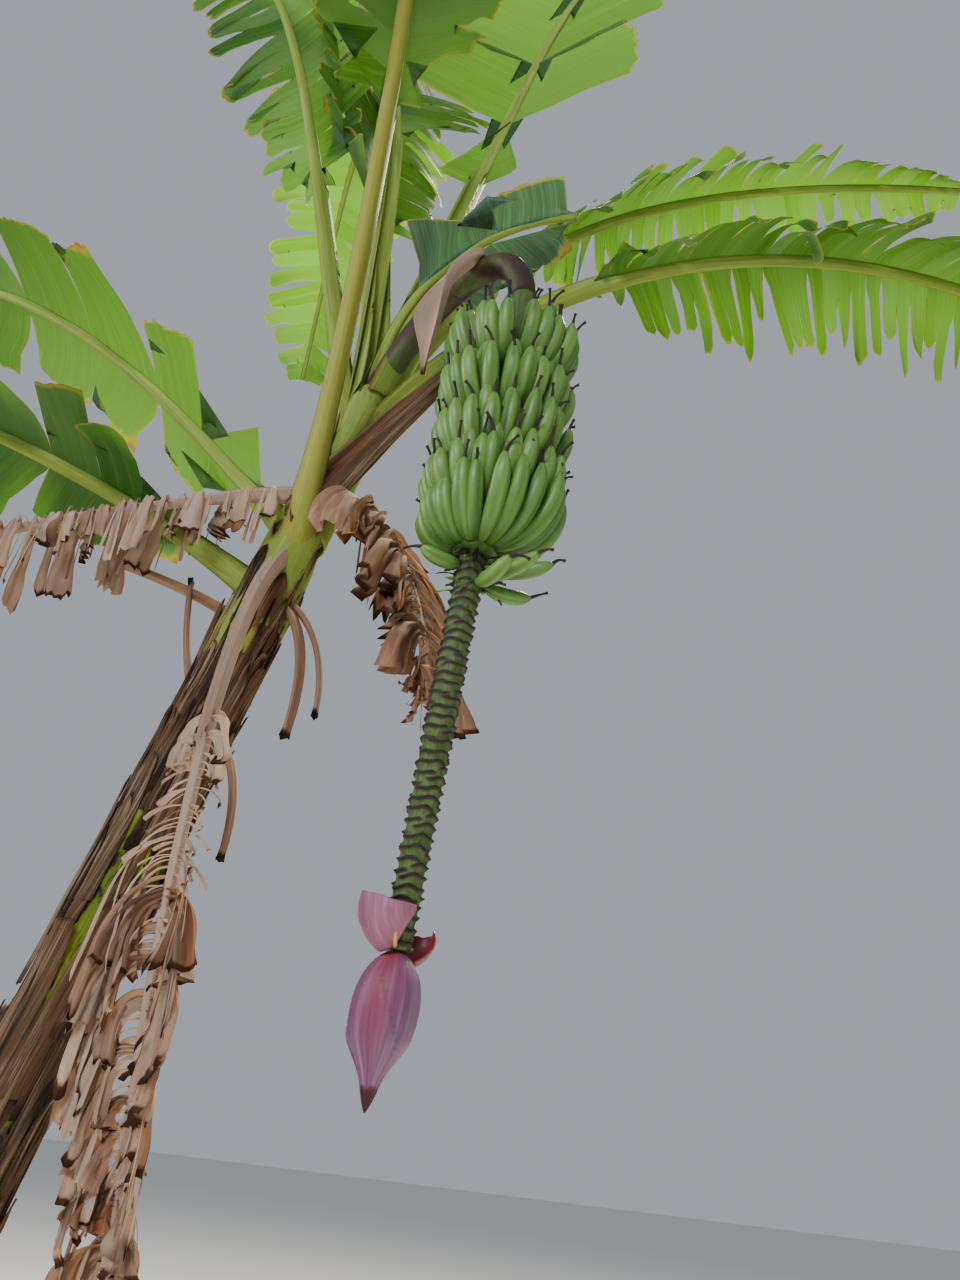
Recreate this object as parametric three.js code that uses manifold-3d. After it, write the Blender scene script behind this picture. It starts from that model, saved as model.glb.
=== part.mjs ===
// A banana plant in fruit, in millimetres with +Z up. The origin is the middle of the trunk's foot, at
// ground level. A leaning false trunk of rolled leaf sheaths carries ten green leaves, three dead ones
// and, on a stalk that bends over at the crown, a bunch of green fruit with a purple bud under it.
import * as THREE from 'three';
import { mergeVertices } from 'three/addons/utils/BufferGeometryUtils.js';
import Module from 'manifold-3d';

const wasm = await Module();
wasm.setup();
const { Manifold } = wasm;

// The gap that is left where one piece meets the next.
const CLEAR = 0.4;
// Edges shorter than this are left out.
const SHORTEST = 0.05;
const DOWN = new THREE.Vector3(0, 0, -1);
const { degToRad, radToDeg, lerp, clamp } = THREE.MathUtils;

// The false trunk: it leans towards +X by this much for each unit of height.
const LEAN = 0.232;
const TRUNK_HEIGHT = 3110;
const TRUNK_RADIUS = { low: 98, high: 52 };
const ROOT_FLARE = { proud: 62, height: 170 };
const SHEATH_LUMP = { share: 0.035, count: 3, twist: 300 };

// A leaf's line starts on the trunk's axis at a height, climbs at `rise` degrees towards `heading`
// (0 is +X, 90 is +Y) and bends to `fall` degrees at its tip, later on the line the larger `late` is.
// `roll` turns the blade about its rib. `stalk` is the share of the line that is bare stalk, `base` and
// `neck` are its half widths, `wide` is half the blade's width, `strip` is the blade's width between two
// tears, and `droop` is how far the strips hang, in degrees. `taper` is how pointed the blade's outline is.
const GREEN_LEAVES = {
  middle: { height: 3090, heading: 133, rise: 79, fall: -25, late: 7.5, sway: 21, length: 2970, roll: 0,
    stalk: 0.25, base: 38, neck: 16, wide: 400, strip: 420, droop: 30, seed: 11 },
  right_high: { height: 3040, heading: 26, rise: 79, fall: -19, late: 8.1, sway: -23, length: 2970, roll: 60,
    stalk: 0.34, base: 30, neck: 15, wide: 420, strip: 520, droop: 20, seed: 12 },
  left_high: { height: 2960, heading: 172, rise: 75, fall: -31, late: 5.1, sway: 25, length: 2760, roll: 58,
    stalk: 0.34, base: 20, neck: 13, wide: 290, strip: 300, droop: 32, seed: 13 },
  right_back: { height: 3000, heading: 48, rise: 70, fall: -17, late: 1.83, sway: -63, length: 2870, roll: 0,
    stalk: 0.34, base: 21, neck: 13, wide: 280, strip: 290, droop: 60, seed: 14 },
  right_low: { height: 2860, heading: 349, rise: 67, fall: -33, late: 0.96, sway: 19, length: 2480, roll: 0,
    stalk: 0.36, base: 21, neck: 13, wide: 300, strip: 270, droop: 95, seed: 15 },
  front: { height: 2640, heading: 285, rise: 53, fall: -29, late: 2.18, sway: -15, length: 2280, roll: 0,
    stalk: 0.42, base: 23, neck: 12, wide: 290, strip: 300, droop: 85, seed: 16 },
  left_mid: { height: 2670, heading: 167, rise: 45, fall: -16, late: 2.15, sway: -3, length: 2390, roll: 22,
    stalk: 0.07, base: 20, neck: 12, wide: 300, strip: 560, droop: 30, seed: 17 },
  left_low: { height: 2510, heading: 188, rise: 29, fall: -24, late: 1.22, sway: -1, length: 2310, roll: 20,
    stalk: 0.09, base: 19, neck: 12, wide: 280, strip: 400, droop: 50, seed: 18 },
  flag: { height: 3060, heading: 340, rise: 90, fall: -8, late: 1.48, sway: 3, length: 900, roll: -28,
    stalk: 0.46, base: 10, neck: 6, wide: 175, strip: 400, droop: 30, seed: 19, taper: 1 },
};
const REAR_LEAF = { height: 2950, heading: 126, rise: 86, fall: -86, late: 2.4, sway: -26, length: 4300,
  roll: 0, stalk: 0.31, base: 21, neck: 13, wide: 480, strip: 400, droop: 12, seed: 21 };
const REAR_BEND = 0.6;
const DEAD_LEAVES = {
  dead_leaf_left: { height: 2795, heading: 203, rise: 22, fall: -41, late: 0.12, sway: 0, length: 1690,
    roll: 0, stalk: 0.12, base: 13, neck: 9, wide: 190, strip: 280, droop: 80, seed: 35 },
  dead_leaf_right: { height: 2790, heading: 336, rise: 21, fall: -85, late: 0.36, sway: 2, length: 700,
    roll: 0, stalk: 0.2, base: 13, neck: 8, wide: 150, strip: 200, droop: 110, seed: 32 },
  dead_leaf_hanging: { height: 2630, heading: 263, rise: 25, fall: -112, late: 0.22, sway: 0, length: 1500,
    roll: 30, stalk: 0.4, base: 14, neck: 9, wide: 120, strip: 260, droop: 70, seed: 33 },
};
const BLADE_THICK = 6;
const VEIN_LEAN = 24;
const BLADE_LIFT = 14;
const RIB_EDGE = 5;
const LEAF_CLEAR = 4;
// Along the stalk each half of the blade is a wing, this share of the stalk's base in reach, which is
// lifted by this many degrees.
const WING = { share: 1.1, lift: 68 };
// A tear is this share of its strip wide on either side, at the rib and at the strip's end.
const TEAR = { fine: 0.04, open: 0.13, root: 0.16 };

// Dry stubs of old leaf stalks, on lines like the leaves' own.
const STUBS = [
  { height: 2510, heading: 338, rise: 45, fall: -99, late: 0.25, length: 390, thick: 15 },
  { height: 2510, heading: 354, rise: 50, fall: -92, late: 0.3, length: 350, thick: 13 },
  { height: 2180, heading: 185, rise: 64, fall: 84, late: 1.0, length: 360, thick: 14 },
  { height: 2430, heading: 178, rise: 28, fall: 12, late: 1.0, length: 390, thick: 17 },
  { height: 2190, heading: 350, rise: 45, fall: -96, late: 0.25, length: 320, thick: 13 },
  { height: 1500, heading: 200, rise: 60, fall: 30, late: 1.0, length: 300, thick: 17 },
];

// Old sheaths that stand off the trunk: the height of the lower edge, how tall, which way they face,
// how far they reach round the trunk, and how far the upper edge stands off.
const OLD_SHEATHS = [
  { low: 2180, tall: 330, facing: 215, around: 150, off: 26 },
  { low: 1830, tall: 400, facing: 320, around: 140, off: 22 },
  { low: 1480, tall: 420, facing: 100, around: 150, off: 24 },
  { low: 1160, tall: 400, facing: 250, around: 150, off: 26 },
  { low: 760, tall: 450, facing: 20, around: 150, off: 28 },
  { low: 330, tall: 480, facing: 170, around: 150, off: 30 },
];
const SHEATH_THICK = 6;

// The stalk of the bunch bends over from the top of the trunk, then hangs straight down.
const BUNCH_TOP = new THREE.Vector3(1066, -300, 3200);
const BUD_TOP = new THREE.Vector3(990, -300, 1744);
const STALK_RADIUS = { crown: 34, bunch: 30, tail: 25 };
const SCARS = { count: 24, from: 0.47, proud: 3 };
// The hands come closer together towards the foot of the bunch, by the power `closer`.
const HANDS = { count: 5, top: 2955, foot: 2530, closer: 1.35, seed: 60 };
const CUSHION = { radius: 60, drop: 36, tall: 58 };
// The fingers of a hand stand in an inner and an outer row, and each row starts at its own height and
// angle. They start `out` from the stalk's axis.
const FINGERS = { count: 16, length: 178, thick: 20, out: 40, fall: 84, spread: 8, late: 0.45 };
const ROWS = [{ lift: 8, rise: -12 }, { lift: -19, rise: -32 }];
const FINGER_SHARES = [0.5, 0.96, 1, 0.42];
// The fruit reaches further to -X at the top of the bunch and to +X at its foot.
const BUNCH_SWAY = { top: 0.02, foot: 0.28 };
const BUD = { length: 236, radius: 54, sides: 14, steps: 10 };

const skin = (color, roughness) => new THREE.MeshStandardMaterial({ color, roughness, metalness: 0 });
const TRUNK_SKIN = skin('#7d6f45', 0.85);
const DRY_SKIN = skin('#8a6a4c', 0.9);
const LEAF_SKIN = skin('#5f8f2c', 0.5);
const FLAG_SKIN = skin('#6f9a7c', 0.6);
const STALK_SKIN = skin('#5d7038', 0.6);
const FRUIT_SKIN = skin('#6ba05e', 0.45);
const BUD_SKIN = skin('#8a4a63', 0.5);
const BRACT_SKIN = skin('#8d2440', 0.45);

// Random numbers from 0 to 1, the same ones each time for a seed.
function seeded(seed) {
  let state = seed * 7919;
  return () => {
    state = (state * 1664525 + 1013904223) % 4294967296;
    return state / 4294967296;
  };
}

// A line that climbs at one angle and bends to another, with the directions along, across and above it.
class BendingLine extends THREE.Curve {
  constructor(start, shape) {
    super();
    this.shape = { sway: 0, roll: 0, ...shape };
    this.points = [start.clone()];
    const steps = 60;
    for (let i = 0; i < steps; i += 1) {
      const { along } = this.frame((i + 0.5) / steps);
      this.points.push(this.points.at(-1).clone().addScaledVector(along, shape.length / steps));
    }
  }

  getPoint(t, target = new THREE.Vector3()) {
    const place = clamp(t, 0, 1) * (this.points.length - 1);
    const before = Math.min(Math.floor(place), this.points.length - 2);
    return target.lerpVectors(this.points[before], this.points[before + 1], place - before);
  }

  frame(t) {
    const { heading, rise, fall, late, sway, roll } = this.shape;
    const climb = degToRad(rise + (fall - rise) * clamp(t, 0, 1) ** late);
    const turn = degToRad(heading + sway * t);
    const level = Math.cos(climb);
    const along = new THREE.Vector3(level * Math.cos(turn), level * Math.sin(turn), Math.sin(climb));
    const side = new THREE.Vector3(-Math.sin(turn), Math.cos(turn), 0).applyAxisAngle(along, degToRad(roll));
    return { along, side, above: along.clone().cross(side), climb };
  }
}

const axis = (height) => new THREE.Vector3(LEAN * height, 0, height);

function trunkRadius(angle, height) {
  const plain = lerp(TRUNK_RADIUS.low, TRUNK_RADIUS.high, height / TRUNK_HEIGHT);
  const flare = ROOT_FLARE.proud * Math.exp(-height / ROOT_FLARE.height);
  const lump = Math.cos(SHEATH_LUMP.count * angle + height / SHEATH_LUMP.twist);
  return (plain + flare) * (1 + SHEATH_LUMP.share * lump);
}

// Moves every corner of a shape to where `place` puts it.
function reshape(geometry, place) {
  const corners = geometry.getAttribute('position');
  const corner = new THREE.Vector3();
  for (let i = 0; i < corners.count; i += 1) {
    corner.fromBufferAttribute(corners, i);
    corners.setXYZ(i, ...place(corner));
  }
  return geometry;
}

// A flat sheet that is thick along Z. Its back is cut into triangles along the same diagonals as its
// front, so that the two stay apart however the sheet is bent.
function sheet(columns, rows) {
  const geometry = new THREE.BoxGeometry(1, 1, 1, columns, rows, 1);
  const back = geometry.groups.at(-1);
  const index = geometry.index.array;
  for (let i = back.start; i < back.start + back.count; i += 6) {
    const [a, b, d, , c] = index.slice(i, i + 6);
    index.set([a, b, c, a, c, d], i);
  }
  return geometry;
}

function solidOf(geometry) {
  geometry.deleteAttribute('normal');
  geometry.deleteAttribute('uv');
  const merged = mergeVertices(geometry, 1e-3);
  const triVerts = new Uint32Array(merged.index.array);
  const vertProperties = merged.attributes.position.array;
  const made = new Manifold(new wasm.Mesh({ numProp: 3, vertProperties, triVerts }));
  if (made.volume() > 0) return made;
  for (let i = 0; i < triVerts.length; i += 3) {
    [triVerts[i], triVerts[i + 1]] = [triVerts[i + 1], triVerts[i]];
  }
  return new Manifold(new wasm.Mesh({ numProp: 3, vertProperties, triVerts }));
}

const join = (solids) => solids.reduce((whole, piece) => whole.add(piece));

// A tapering limb along a line, from one share of it to another. `thick` gives its two half widths.
function limb(line, thick, { sides = 6, steps = 10, from = 0, to = 1, grow = 0 } = {}) {
  return solidOf(reshape(new THREE.CylinderGeometry(1, 1, 1, sides, steps), ({ x, y, z }) => {
    const t = lerp(from, to, y + 0.5);
    const { side, above, along } = line.frame(t);
    const [across, deep] = thick(t);
    return line.getPoint(t)
      .addScaledVector(side, x * (across + grow))
      .addScaledVector(above, z * (deep + grow))
      .addScaledVector(along, 2 * y * grow);
  }));
}

// A thin cupped piece along a line, such as a bract or a dry sheath.
function petal(line, { wide, cup, thick, across = 4, steps = 5, grow = 0 }) {
  return solidOf(reshape(sheet(across, steps), ({ x, y, z }) => {
    const t = y + 0.5;
    const { side, above } = line.frame(t);
    const half = wide(t) + grow;
    const turn = 2 * x * degToRad(cup);
    return line.getPoint(t)
      .addScaledVector(side, half * Math.sin(turn) / Math.sin(degToRad(cup)))
      .addScaledVector(above, half * (1 - Math.cos(turn)) + z * (thick + 2 * grow));
  }));
}

// How wide the blade is at a share of its own length, from the stalk to the tip.
const OUTLINE = { from: 0.004, to: 0.985, fullest: 0.7, taper: 0.5 };

function bladeOutline(share, taper = OUTLINE.taper) {
  return Math.sin(Math.PI * clamp(share, OUTLINE.from, OUTLINE.to) ** OUTLINE.fullest) ** taper;
}

// The rib's half width and depth at a share of the leaf's line.
function ribSize(leaf, t) {
  const blade = clamp((t - leaf.stalk) / (1 - leaf.stalk), 0, 1);
  const stalk = lerp(leaf.base, leaf.neck, Math.sqrt(clamp(t / leaf.stalk, 0, 1)));
  const half = t < leaf.stalk ? stalk : lerp(leaf.neck, 5, blade ** 0.7);
  return { half, deep: 1.9 * half };
}

// The blade is torn between its veins into strips, from one share of the leaf's line to another. Each
// strip droops and reaches out by its own measure on either side.
function stripsOf(leaf, start, end) {
  const random = seeded(leaf.seed);
  const strips = [];
  let from = Math.max(start, leaf.stalk);
  while (from < end) {
    const width = leaf.strip * (0.6 + 0.8 * random()) / leaf.length;
    const to = from + 1.5 * width > end ? end : from + width;
    const droop = [0, 1].map(() => leaf.droop * (0.75 + 0.5 * random()));
    const reach = [0, 1].map(() => 0.88 + 0.24 * random());
    strips.push({ from, to, droop, reach });
    from = to;
  }
  return strips;
}

// The rows of corners across a leaf: three on the stalk, then one along either edge of each strip, and
// between two strips a short one at the root of the tear.
function rowsOf(leaf, start, end) {
  const strips = stripsOf(leaf, start, end);
  const stalkRows = start < leaf.stalk ? [start, 0.35 * leaf.stalk, 0.75 * leaf.stalk] : [];
  return [
    ...stalkRows.map((t) => ({ strip: strips[0], root: t, tip: t, end: 1 })),
    ...strips.flatMap((strip, i) => {
      const fine = TEAR.fine * (strip.to - strip.from);
      const open = TEAR.open * (strip.to - strip.from);
      return [
        { strip, root: strip.from + fine, tip: strip.from + open, end: 1 },
        { strip, root: strip.to - fine, tip: strip.to - open, end: 1 },
        ...(i + 1 < strips.length ? [{ strip, root: strip.to, tip: strip.to, end: TEAR.root }] : []),
      ];
    }),
  ];
}

// A place on the blade: `out` is 0 beside the rib and 1 at the strip's end. Along the stalk the blade
// is a low wing that stands up, and it opens out flat from there.
function bladePoint(leaf, line, { strip, root, tip, end }, half, out, proud, grow) {
  const t = clamp(lerp(root, tip, (out * end) ** 2), 0, 1);
  const { along, side, above, climb } = line.frame(t);
  const share = (t - leaf.stalk) / (1 - leaf.stalk);
  const opening = clamp(share / 0.05, 0, 1);
  const blade = leaf.wide * strip.reach[half] * bladeOutline(share, leaf.taper) * opening;
  const reach = Math.max(blade, WING.share * leaf.base) * end;
  const lean = degToRad(VEIN_LEAN) * opening;
  const outward = side.clone().multiplyScalar((half ? 1 : -1) * Math.cos(lean));
  outward.addScaledVector(along, Math.sin(lean));
  const under = above.clone().negate().addScaledVector(DOWN, 0.35 * opening).normalize();
  const lift = degToRad(lerp(WING.lift, BLADE_LIFT, opening));
  const bend = degToRad(strip.droop[half]) * lerp(0.4, 1, Math.abs(Math.cos(climb))) * opening;
  const beside = (half ? 1 : -1) * (ribSize(leaf, t).half + RIB_EDGE + grow);
  const place = line.getPoint(t).addScaledVector(side, beside);
  const steps = 6;
  for (let i = 0; i < steps; i += 1) {
    const turn = bend * (out * end * (i + 0.5) / steps) ** 0.8 - lift;
    place.addScaledVector(outward, reach * out / steps * Math.cos(turn));
    place.addScaledVector(under, reach * out / steps * Math.sin(turn));
  }
  const turn = bend * (out * end) ** 0.8 - lift;
  const facing = above.clone().multiplyScalar(Math.cos(turn)).addScaledVector(outward, Math.sin(turn));
  return place.addScaledVector(facing.normalize(), proud);
}

// The rib's edge: level with the blade above, and a narrower keel below.
function ribPoint(leaf, line, t, half, upper, grow) {
  const { side, above } = line.frame(t);
  const size = ribSize(leaf, t);
  const across = (half ? 1 : -1) * ((upper ? 1 : 0.55) * size.half + grow);
  const height = upper ? BLADE_THICK / 2 + grow : -size.deep - grow;
  return line.getPoint(t).addScaledVector(side, across).addScaledVector(above, height);
}

// A leaf, or the stretch of it between two shares of its line, is one sheet that is thick at the rib.
// Other pieces keep further from a leaf than from the trunk, because its edges are ragged.
function leafSolid(leaf, clearance = 0, from = 0, to = 1) {
  const grow = LEAF_CLEAR * clearance;
  const line = new BendingLine(axis(leaf.height), leaf);
  const rows = rowsOf(leaf, from, to);
  const rowCount = rows.length - 1;
  const outs = [1, 0.5, 0, 'rib', 'rib', 0, 0.5, 1];
  return solidOf(reshape(sheet(outs.length - 1, rowCount), ({ x, y, z }) => {
    const column = Math.round((outs.length - 1) * (x + 0.5));
    const row = rows[Math.round(rowCount * (y + 0.5))];
    const half = column < outs.length / 2 ? 0 : 1;
    if (outs[column] === 'rib') return ribPoint(leaf, line, row.root, half, z > 0, grow);
    const out = outs[column] ? outs[column] + grow / leaf.wide : 0;
    return bladePoint(leaf, line, row, half, out, z * (BLADE_THICK + 2 * grow), grow);
  }));
}

function trunkSolid(grow = 0) {
  return solidOf(reshape(new THREE.CylinderGeometry(1, 1, 1, 18, 10), ({ x, y, z }) => {
    const height = (TRUNK_HEIGHT + grow) * (y + 0.5) ** 1.5;
    const angle = Math.atan2(z, x);
    const radius = Math.hypot(x, z) * (trunkRadius(angle, height) + grow);
    return axis(height).add(new THREE.Vector3(radius * Math.cos(angle), radius * Math.sin(angle), 0));
  }));
}

function sheathSolid(sheath, seed, grow = 0) {
  const random = seeded(seed);
  const columns = 5;
  const ragged = Array.from({ length: columns + 1 }, () => 0.72 + 0.28 * random());
  return solidOf(reshape(sheet(columns, 2), ({ x, y, z }) => {
    const up = y + 0.5;
    const angle = degToRad(sheath.facing + sheath.around * x);
    const height = sheath.low + sheath.tall * up * ragged[Math.round(columns * (x + 0.5))];
    const off = 2 + sheath.off * up ** 2 + (z + 0.5) * SHEATH_THICK + 2 * z * grow;
    const radius = trunkRadius(angle, height) + off;
    return axis(height).add(new THREE.Vector3(radius * Math.cos(angle), radius * Math.sin(angle), 0));
  }));
}

function stubSolid(stub, grow = 0) {
  const line = new BendingLine(axis(stub.height), stub);
  return limb(line, (t) => [stub.thick * lerp(1.3, 0.7, t), 0.55 * stub.thick], { steps: 5, grow });
}

// The bent stalk between the trunk's top and the bunch: its line's two guide points, and its flank.
const BEND = {
  foot: axis(TRUNK_HEIGHT - 90),
  first: new THREE.Vector3(790, -20, 3420),
  second: new THREE.Vector3(1040, -300, 3470),
  side: new THREE.Vector3(300, 262, 0).normalize(),
};

class BunchBend extends THREE.Curve {
  getPoint(t, target = new THREE.Vector3()) {
    const bend = new THREE.CubicBezierCurve3(BEND.foot, BEND.first, BEND.second, BUNCH_TOP);
    return bend.getPoint(t, target);
  }

  frame(t) {
    const along = this.getTangent(t);
    const side = BEND.side;
    return { along, side, above: along.clone().cross(side).normalize() };
  }
}

// The straight stalk from the top of the bunch to the bud, with the scars of fallen bracts below the fruit.
const STALK_CLIMB = radToDeg(Math.atan2(BUNCH_TOP.z - BUD_TOP.z, BUNCH_TOP.x - BUD_TOP.x));
const hangingLine = new BendingLine(BUNCH_TOP.clone().addScaledVector(DOWN, CLEAR), {
  heading: 180,
  rise: -STALK_CLIMB,
  fall: -STALK_CLIMB,
  late: 1,
  length: BUNCH_TOP.distanceTo(BUD_TOP),
});

function tailSolid(grow = 0) {
  const rings = 2 * SCARS.count;
  const thick = (t) => {
    const plain = lerp(STALK_RADIUS.bunch, STALK_RADIUS.tail, t);
    const ring = Math.round((t - SCARS.from) / (1 - SCARS.from) * rings);
    const scar = t > SCARS.from && ring % 2 ? SCARS.proud : 0;
    return [plain + scar, plain + scar];
  };
  const upper = limb(hangingLine, thick, { sides: 6, steps: 1, to: SCARS.from, grow });
  const scarred = limb(hangingLine, thick, { sides: 6, steps: rings, from: SCARS.from - 0.002, grow });
  return upper.add(scarred);
}

// A hand of fruit is a cushion on the stalk and a ring of fingers that grow outwards and curve up.
function handSolid(index, grow = 0) {
  const down = 1 - (1 - index / (HANDS.count - 1)) ** HANDS.closer;
  const height = lerp(HANDS.top, HANDS.foot, down);
  const middle = hangingLine.getPoint((BUNCH_TOP.z - height) / (BUNCH_TOP.z - BUD_TOP.z));
  const random = seeded(HANDS.seed + index);
  const sway = lerp(BUNCH_SWAY.top, BUNCH_SWAY.foot, index / (HANDS.count - 1));
  const cushionLine = new BendingLine(middle.clone().addScaledVector(DOWN, CUSHION.drop), {
    heading: 0, rise: 90, fall: 90, late: 1, length: CUSHION.tall,
  });
  const pieces = [limb(cushionLine, () => [CUSHION.radius, CUSHION.radius], { sides: 9, steps: 1, grow })];
  for (let i = 0; i < FINGERS.count; i += 1) {
    const { lift, rise } = ROWS[i % 2];
    const heading = 360 * (i + 0.5 * (index % 2) + 0.3 * random()) / FINGERS.count;
    const start = middle.clone().add(new THREE.Vector3(FINGERS.out, 0, lift)
      .applyAxisAngle(new THREE.Vector3(0, 0, 1), degToRad(heading)));
    const size = 1 + sway * Math.cos(degToRad(heading));
    const line = new BendingLine(start, {
      heading, rise, fall: FINGERS.fall + FINGERS.spread * random(), late: FINGERS.late,
      length: size * FINGERS.length,
    });
    const radius = (t) => FINGERS.thick * FINGER_SHARES[Math.round(3 * t)];
    pieces.push(limb(line, (t) => [radius(t), radius(t)], { sides: 5, steps: 3, grow }));
  }
  return join(pieces);
}

// The bud is an egg drawn out to a point.
function budSolid(grow = 0) {
  const profile = Array.from({ length: BUD.steps + 1 }, (_, i) => {
    const share = i / BUD.steps;
    const radius = (BUD.radius + grow) * Math.sin(Math.PI * share ** 0.72) ** 0.75;
    return new THREE.Vector2(i % BUD.steps ? radius : 0, share * (BUD.length + 2 * grow));
  });
  const geometry = new THREE.LatheGeometry(profile.reverse(), BUD.sides);
  geometry.rotateX(-Math.PI / 2);
  geometry.rotateY(degToRad(-3));
  geometry.translate(BUD_TOP.x, BUD_TOP.y, BUD_TOP.z + grow);
  return solidOf(geometry);
}

const BRACTS = {
  raised_bract_left: { heading: 224, rise: 22, fall: 98, length: 108, wide: 44, from: -6 },
  raised_bract_rear: { heading: 58, rise: 8, fall: 88, length: 82, wide: 40, from: -24 },
};

function bractSolid({ heading, rise, fall, length, wide, from }, grow = 0) {
  const turn = degToRad(heading);
  const start = BUD_TOP.clone().add(new THREE.Vector3(30 * Math.cos(turn), 30 * Math.sin(turn), from));
  const line = new BendingLine(start, { heading, rise, fall, late: 0.8, length });
  const halfWidth = (t) => wide * lerp(0.5, 1, Math.sin(0.75 * Math.PI * t));
  return petal(line, { wide: halfWidth, cup: 50, thick: 5, grow });
}

// The dry sheath along the neck, and the dry bract that hangs beside the bunch.
function neckSheathSolid(grow = 0) {
  const start = axis(2680).add(new THREE.Vector3(12, -80, 0));
  const line = new BendingLine(start, { heading: 352, rise: 62, fall: 48, late: 1, length: 640 });
  return limb(line, (t) => [8, lerp(48, 12, t)], { steps: 5, grow });
}

function dryBractSolid(grow = 0) {
  const start = new THREE.Vector3(960, -236, 3380);
  const line = new BendingLine(start, { heading: 195, rise: -14, fall: -92, late: 0.25, length: 430 });
  return petal(line, { wide: (t) => lerp(20, 46, Math.sin(Math.PI * t)), cup: 40, thick: 6, grow });
}

// Each piece is cut clear of the pieces that are already there, and keeps its largest part.
const plant = new THREE.Group();
const placed = [];

function toGeometry(solid) {
  const mesh = solid.getMesh();
  const corners = new Float32Array(mesh.numVert * 3);
  for (let i = 0; i < mesh.numVert; i += 1) {
    corners.set(mesh.vertProperties.subarray(i * mesh.numProp, i * mesh.numProp + 3), 3 * i);
  }
  const geometry = new THREE.BufferGeometry();
  geometry.setAttribute('position', new THREE.BufferAttribute(corners, 3));
  geometry.setIndex(new THREE.BufferAttribute(new Uint32Array(mesh.triVerts), 1));
  return geometry;
}

function add(name, make, material) {
  let solid = make(0);
  for (const earlier of placed) solid = solid.subtract(earlier);
  const largest = solid.simplify(SHORTEST).decompose().sort((a, b) => b.volume() - a.volume())[0];
  placed.push(make(CLEAR), make(0));
  const geometry = toGeometry(largest);
  geometry.computeVertexNormals();
  const mesh = new THREE.Mesh(geometry, material);
  mesh.name = name;
  plant.add(mesh);
}

add('trunk', trunkSolid, TRUNK_SKIN);
add('bunch_stalk_bend', (grow) => {
  const radius = (t) => lerp(STALK_RADIUS.crown, STALK_RADIUS.bunch, t);
  return limb(new BunchBend(), (t) => [radius(t), radius(t)], { sides: 8, steps: 10, grow });
}, STALK_SKIN);
add('bunch_stalk', tailSolid, STALK_SKIN);
for (let i = 0; i < HANDS.count; i += 1) {
  add(`fruit_hand_${i + 1}`, (grow) => handSolid(i, grow), FRUIT_SKIN);
}
add('flower_bud', budSolid, BUD_SKIN);
for (const [name, bract] of Object.entries(BRACTS)) {
  add(name, (grow) => bractSolid(bract, grow), BRACT_SKIN);
}
for (const [name, leaf] of Object.entries(GREEN_LEAVES)) {
  add(`leaf_${name}`, (grow) => leafSolid(leaf, grow), name === 'flag' ? FLAG_SKIN : LEAF_SKIN);
}
add('leaf_rear_rising', (grow) => leafSolid(REAR_LEAF, grow, 0, REAR_BEND), LEAF_SKIN);
add('leaf_rear_hanging', (grow) => leafSolid(REAR_LEAF, grow, REAR_BEND, 1), LEAF_SKIN);
for (const [name, leaf] of Object.entries(DEAD_LEAVES)) {
  add(name, (grow) => leafSolid(leaf, grow), DRY_SKIN);
}
add('dry_neck_sheath', neckSheathSolid, DRY_SKIN);
add('dry_bract', dryBractSolid, DRY_SKIN);
STUBS.forEach((stub, i) => add(`stalk_stub_${i + 1}`, (grow) => stubSolid(stub, grow), DRY_SKIN));
OLD_SHEATHS.forEach((sheath, i) => {
  add(`old_sheath_${i + 1}`, (grow) => sheathSolid(sheath, 80 + i, grow), DRY_SKIN);
});

export default plant;
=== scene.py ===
# %% [markdown]
# # A banana plant in fruit
# A banana plant has no wood. What looks like its trunk is a roll of leaf stalks, one inside the other,
# and each leaf comes out of the top of it. This lesson dresses the measured solids of such a plant: the
# false trunk, ten green leaves, three dead ones, the bunch of fruit and the bud that hangs under it.

# %% Load the measured frame
from math import atan2, cos, degrees, exp, pi, radians, sin, sqrt, tau

import bmesh
import bpy
from mathutils import Matrix, Quaternion, Vector, noise


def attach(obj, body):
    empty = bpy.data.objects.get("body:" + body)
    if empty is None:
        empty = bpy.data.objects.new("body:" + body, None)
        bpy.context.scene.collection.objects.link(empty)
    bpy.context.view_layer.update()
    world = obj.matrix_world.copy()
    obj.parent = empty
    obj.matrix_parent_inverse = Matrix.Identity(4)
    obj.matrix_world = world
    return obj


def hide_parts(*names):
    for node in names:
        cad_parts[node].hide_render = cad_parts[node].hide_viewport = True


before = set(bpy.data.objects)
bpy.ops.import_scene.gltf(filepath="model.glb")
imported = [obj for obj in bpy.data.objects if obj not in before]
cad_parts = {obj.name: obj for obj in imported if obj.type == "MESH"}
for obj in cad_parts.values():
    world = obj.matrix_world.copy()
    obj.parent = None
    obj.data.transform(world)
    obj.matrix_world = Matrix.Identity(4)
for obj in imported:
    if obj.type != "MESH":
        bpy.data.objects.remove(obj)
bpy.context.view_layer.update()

print("nodes in the frame:", len(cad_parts))

# %% [markdown]
# ## Small tools
# Sizes below are in millimetres, as they were measured, and the scene is in metres. The random numbers
# come from the same rule as the solids use, so each torn leaf has its tears in the same places.

# %% Numbers that every step uses
MM = 0.001
UP, DOWN = Vector((0, 0, 1)), Vector((0, 0, -1))


def lerp(a, b, t):
    return a + (b - a) * t


def clamp(value, low=0.0, high=1.0):
    return max(low, min(high, value))


def ease(t):
    t = clamp(t)
    return t * t * (3 - 2 * t)


def seeded(seed):
    state = seed * 7919

    def draw():
        nonlocal state
        state = (state * 1664525 + 1013904223) % 4294967296
        return state / 4294967296

    return draw


def rough(*place):
    """A smooth random number from about -1 to 1 that changes slowly from place to place."""
    return noise.noise(Vector(place))


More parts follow.
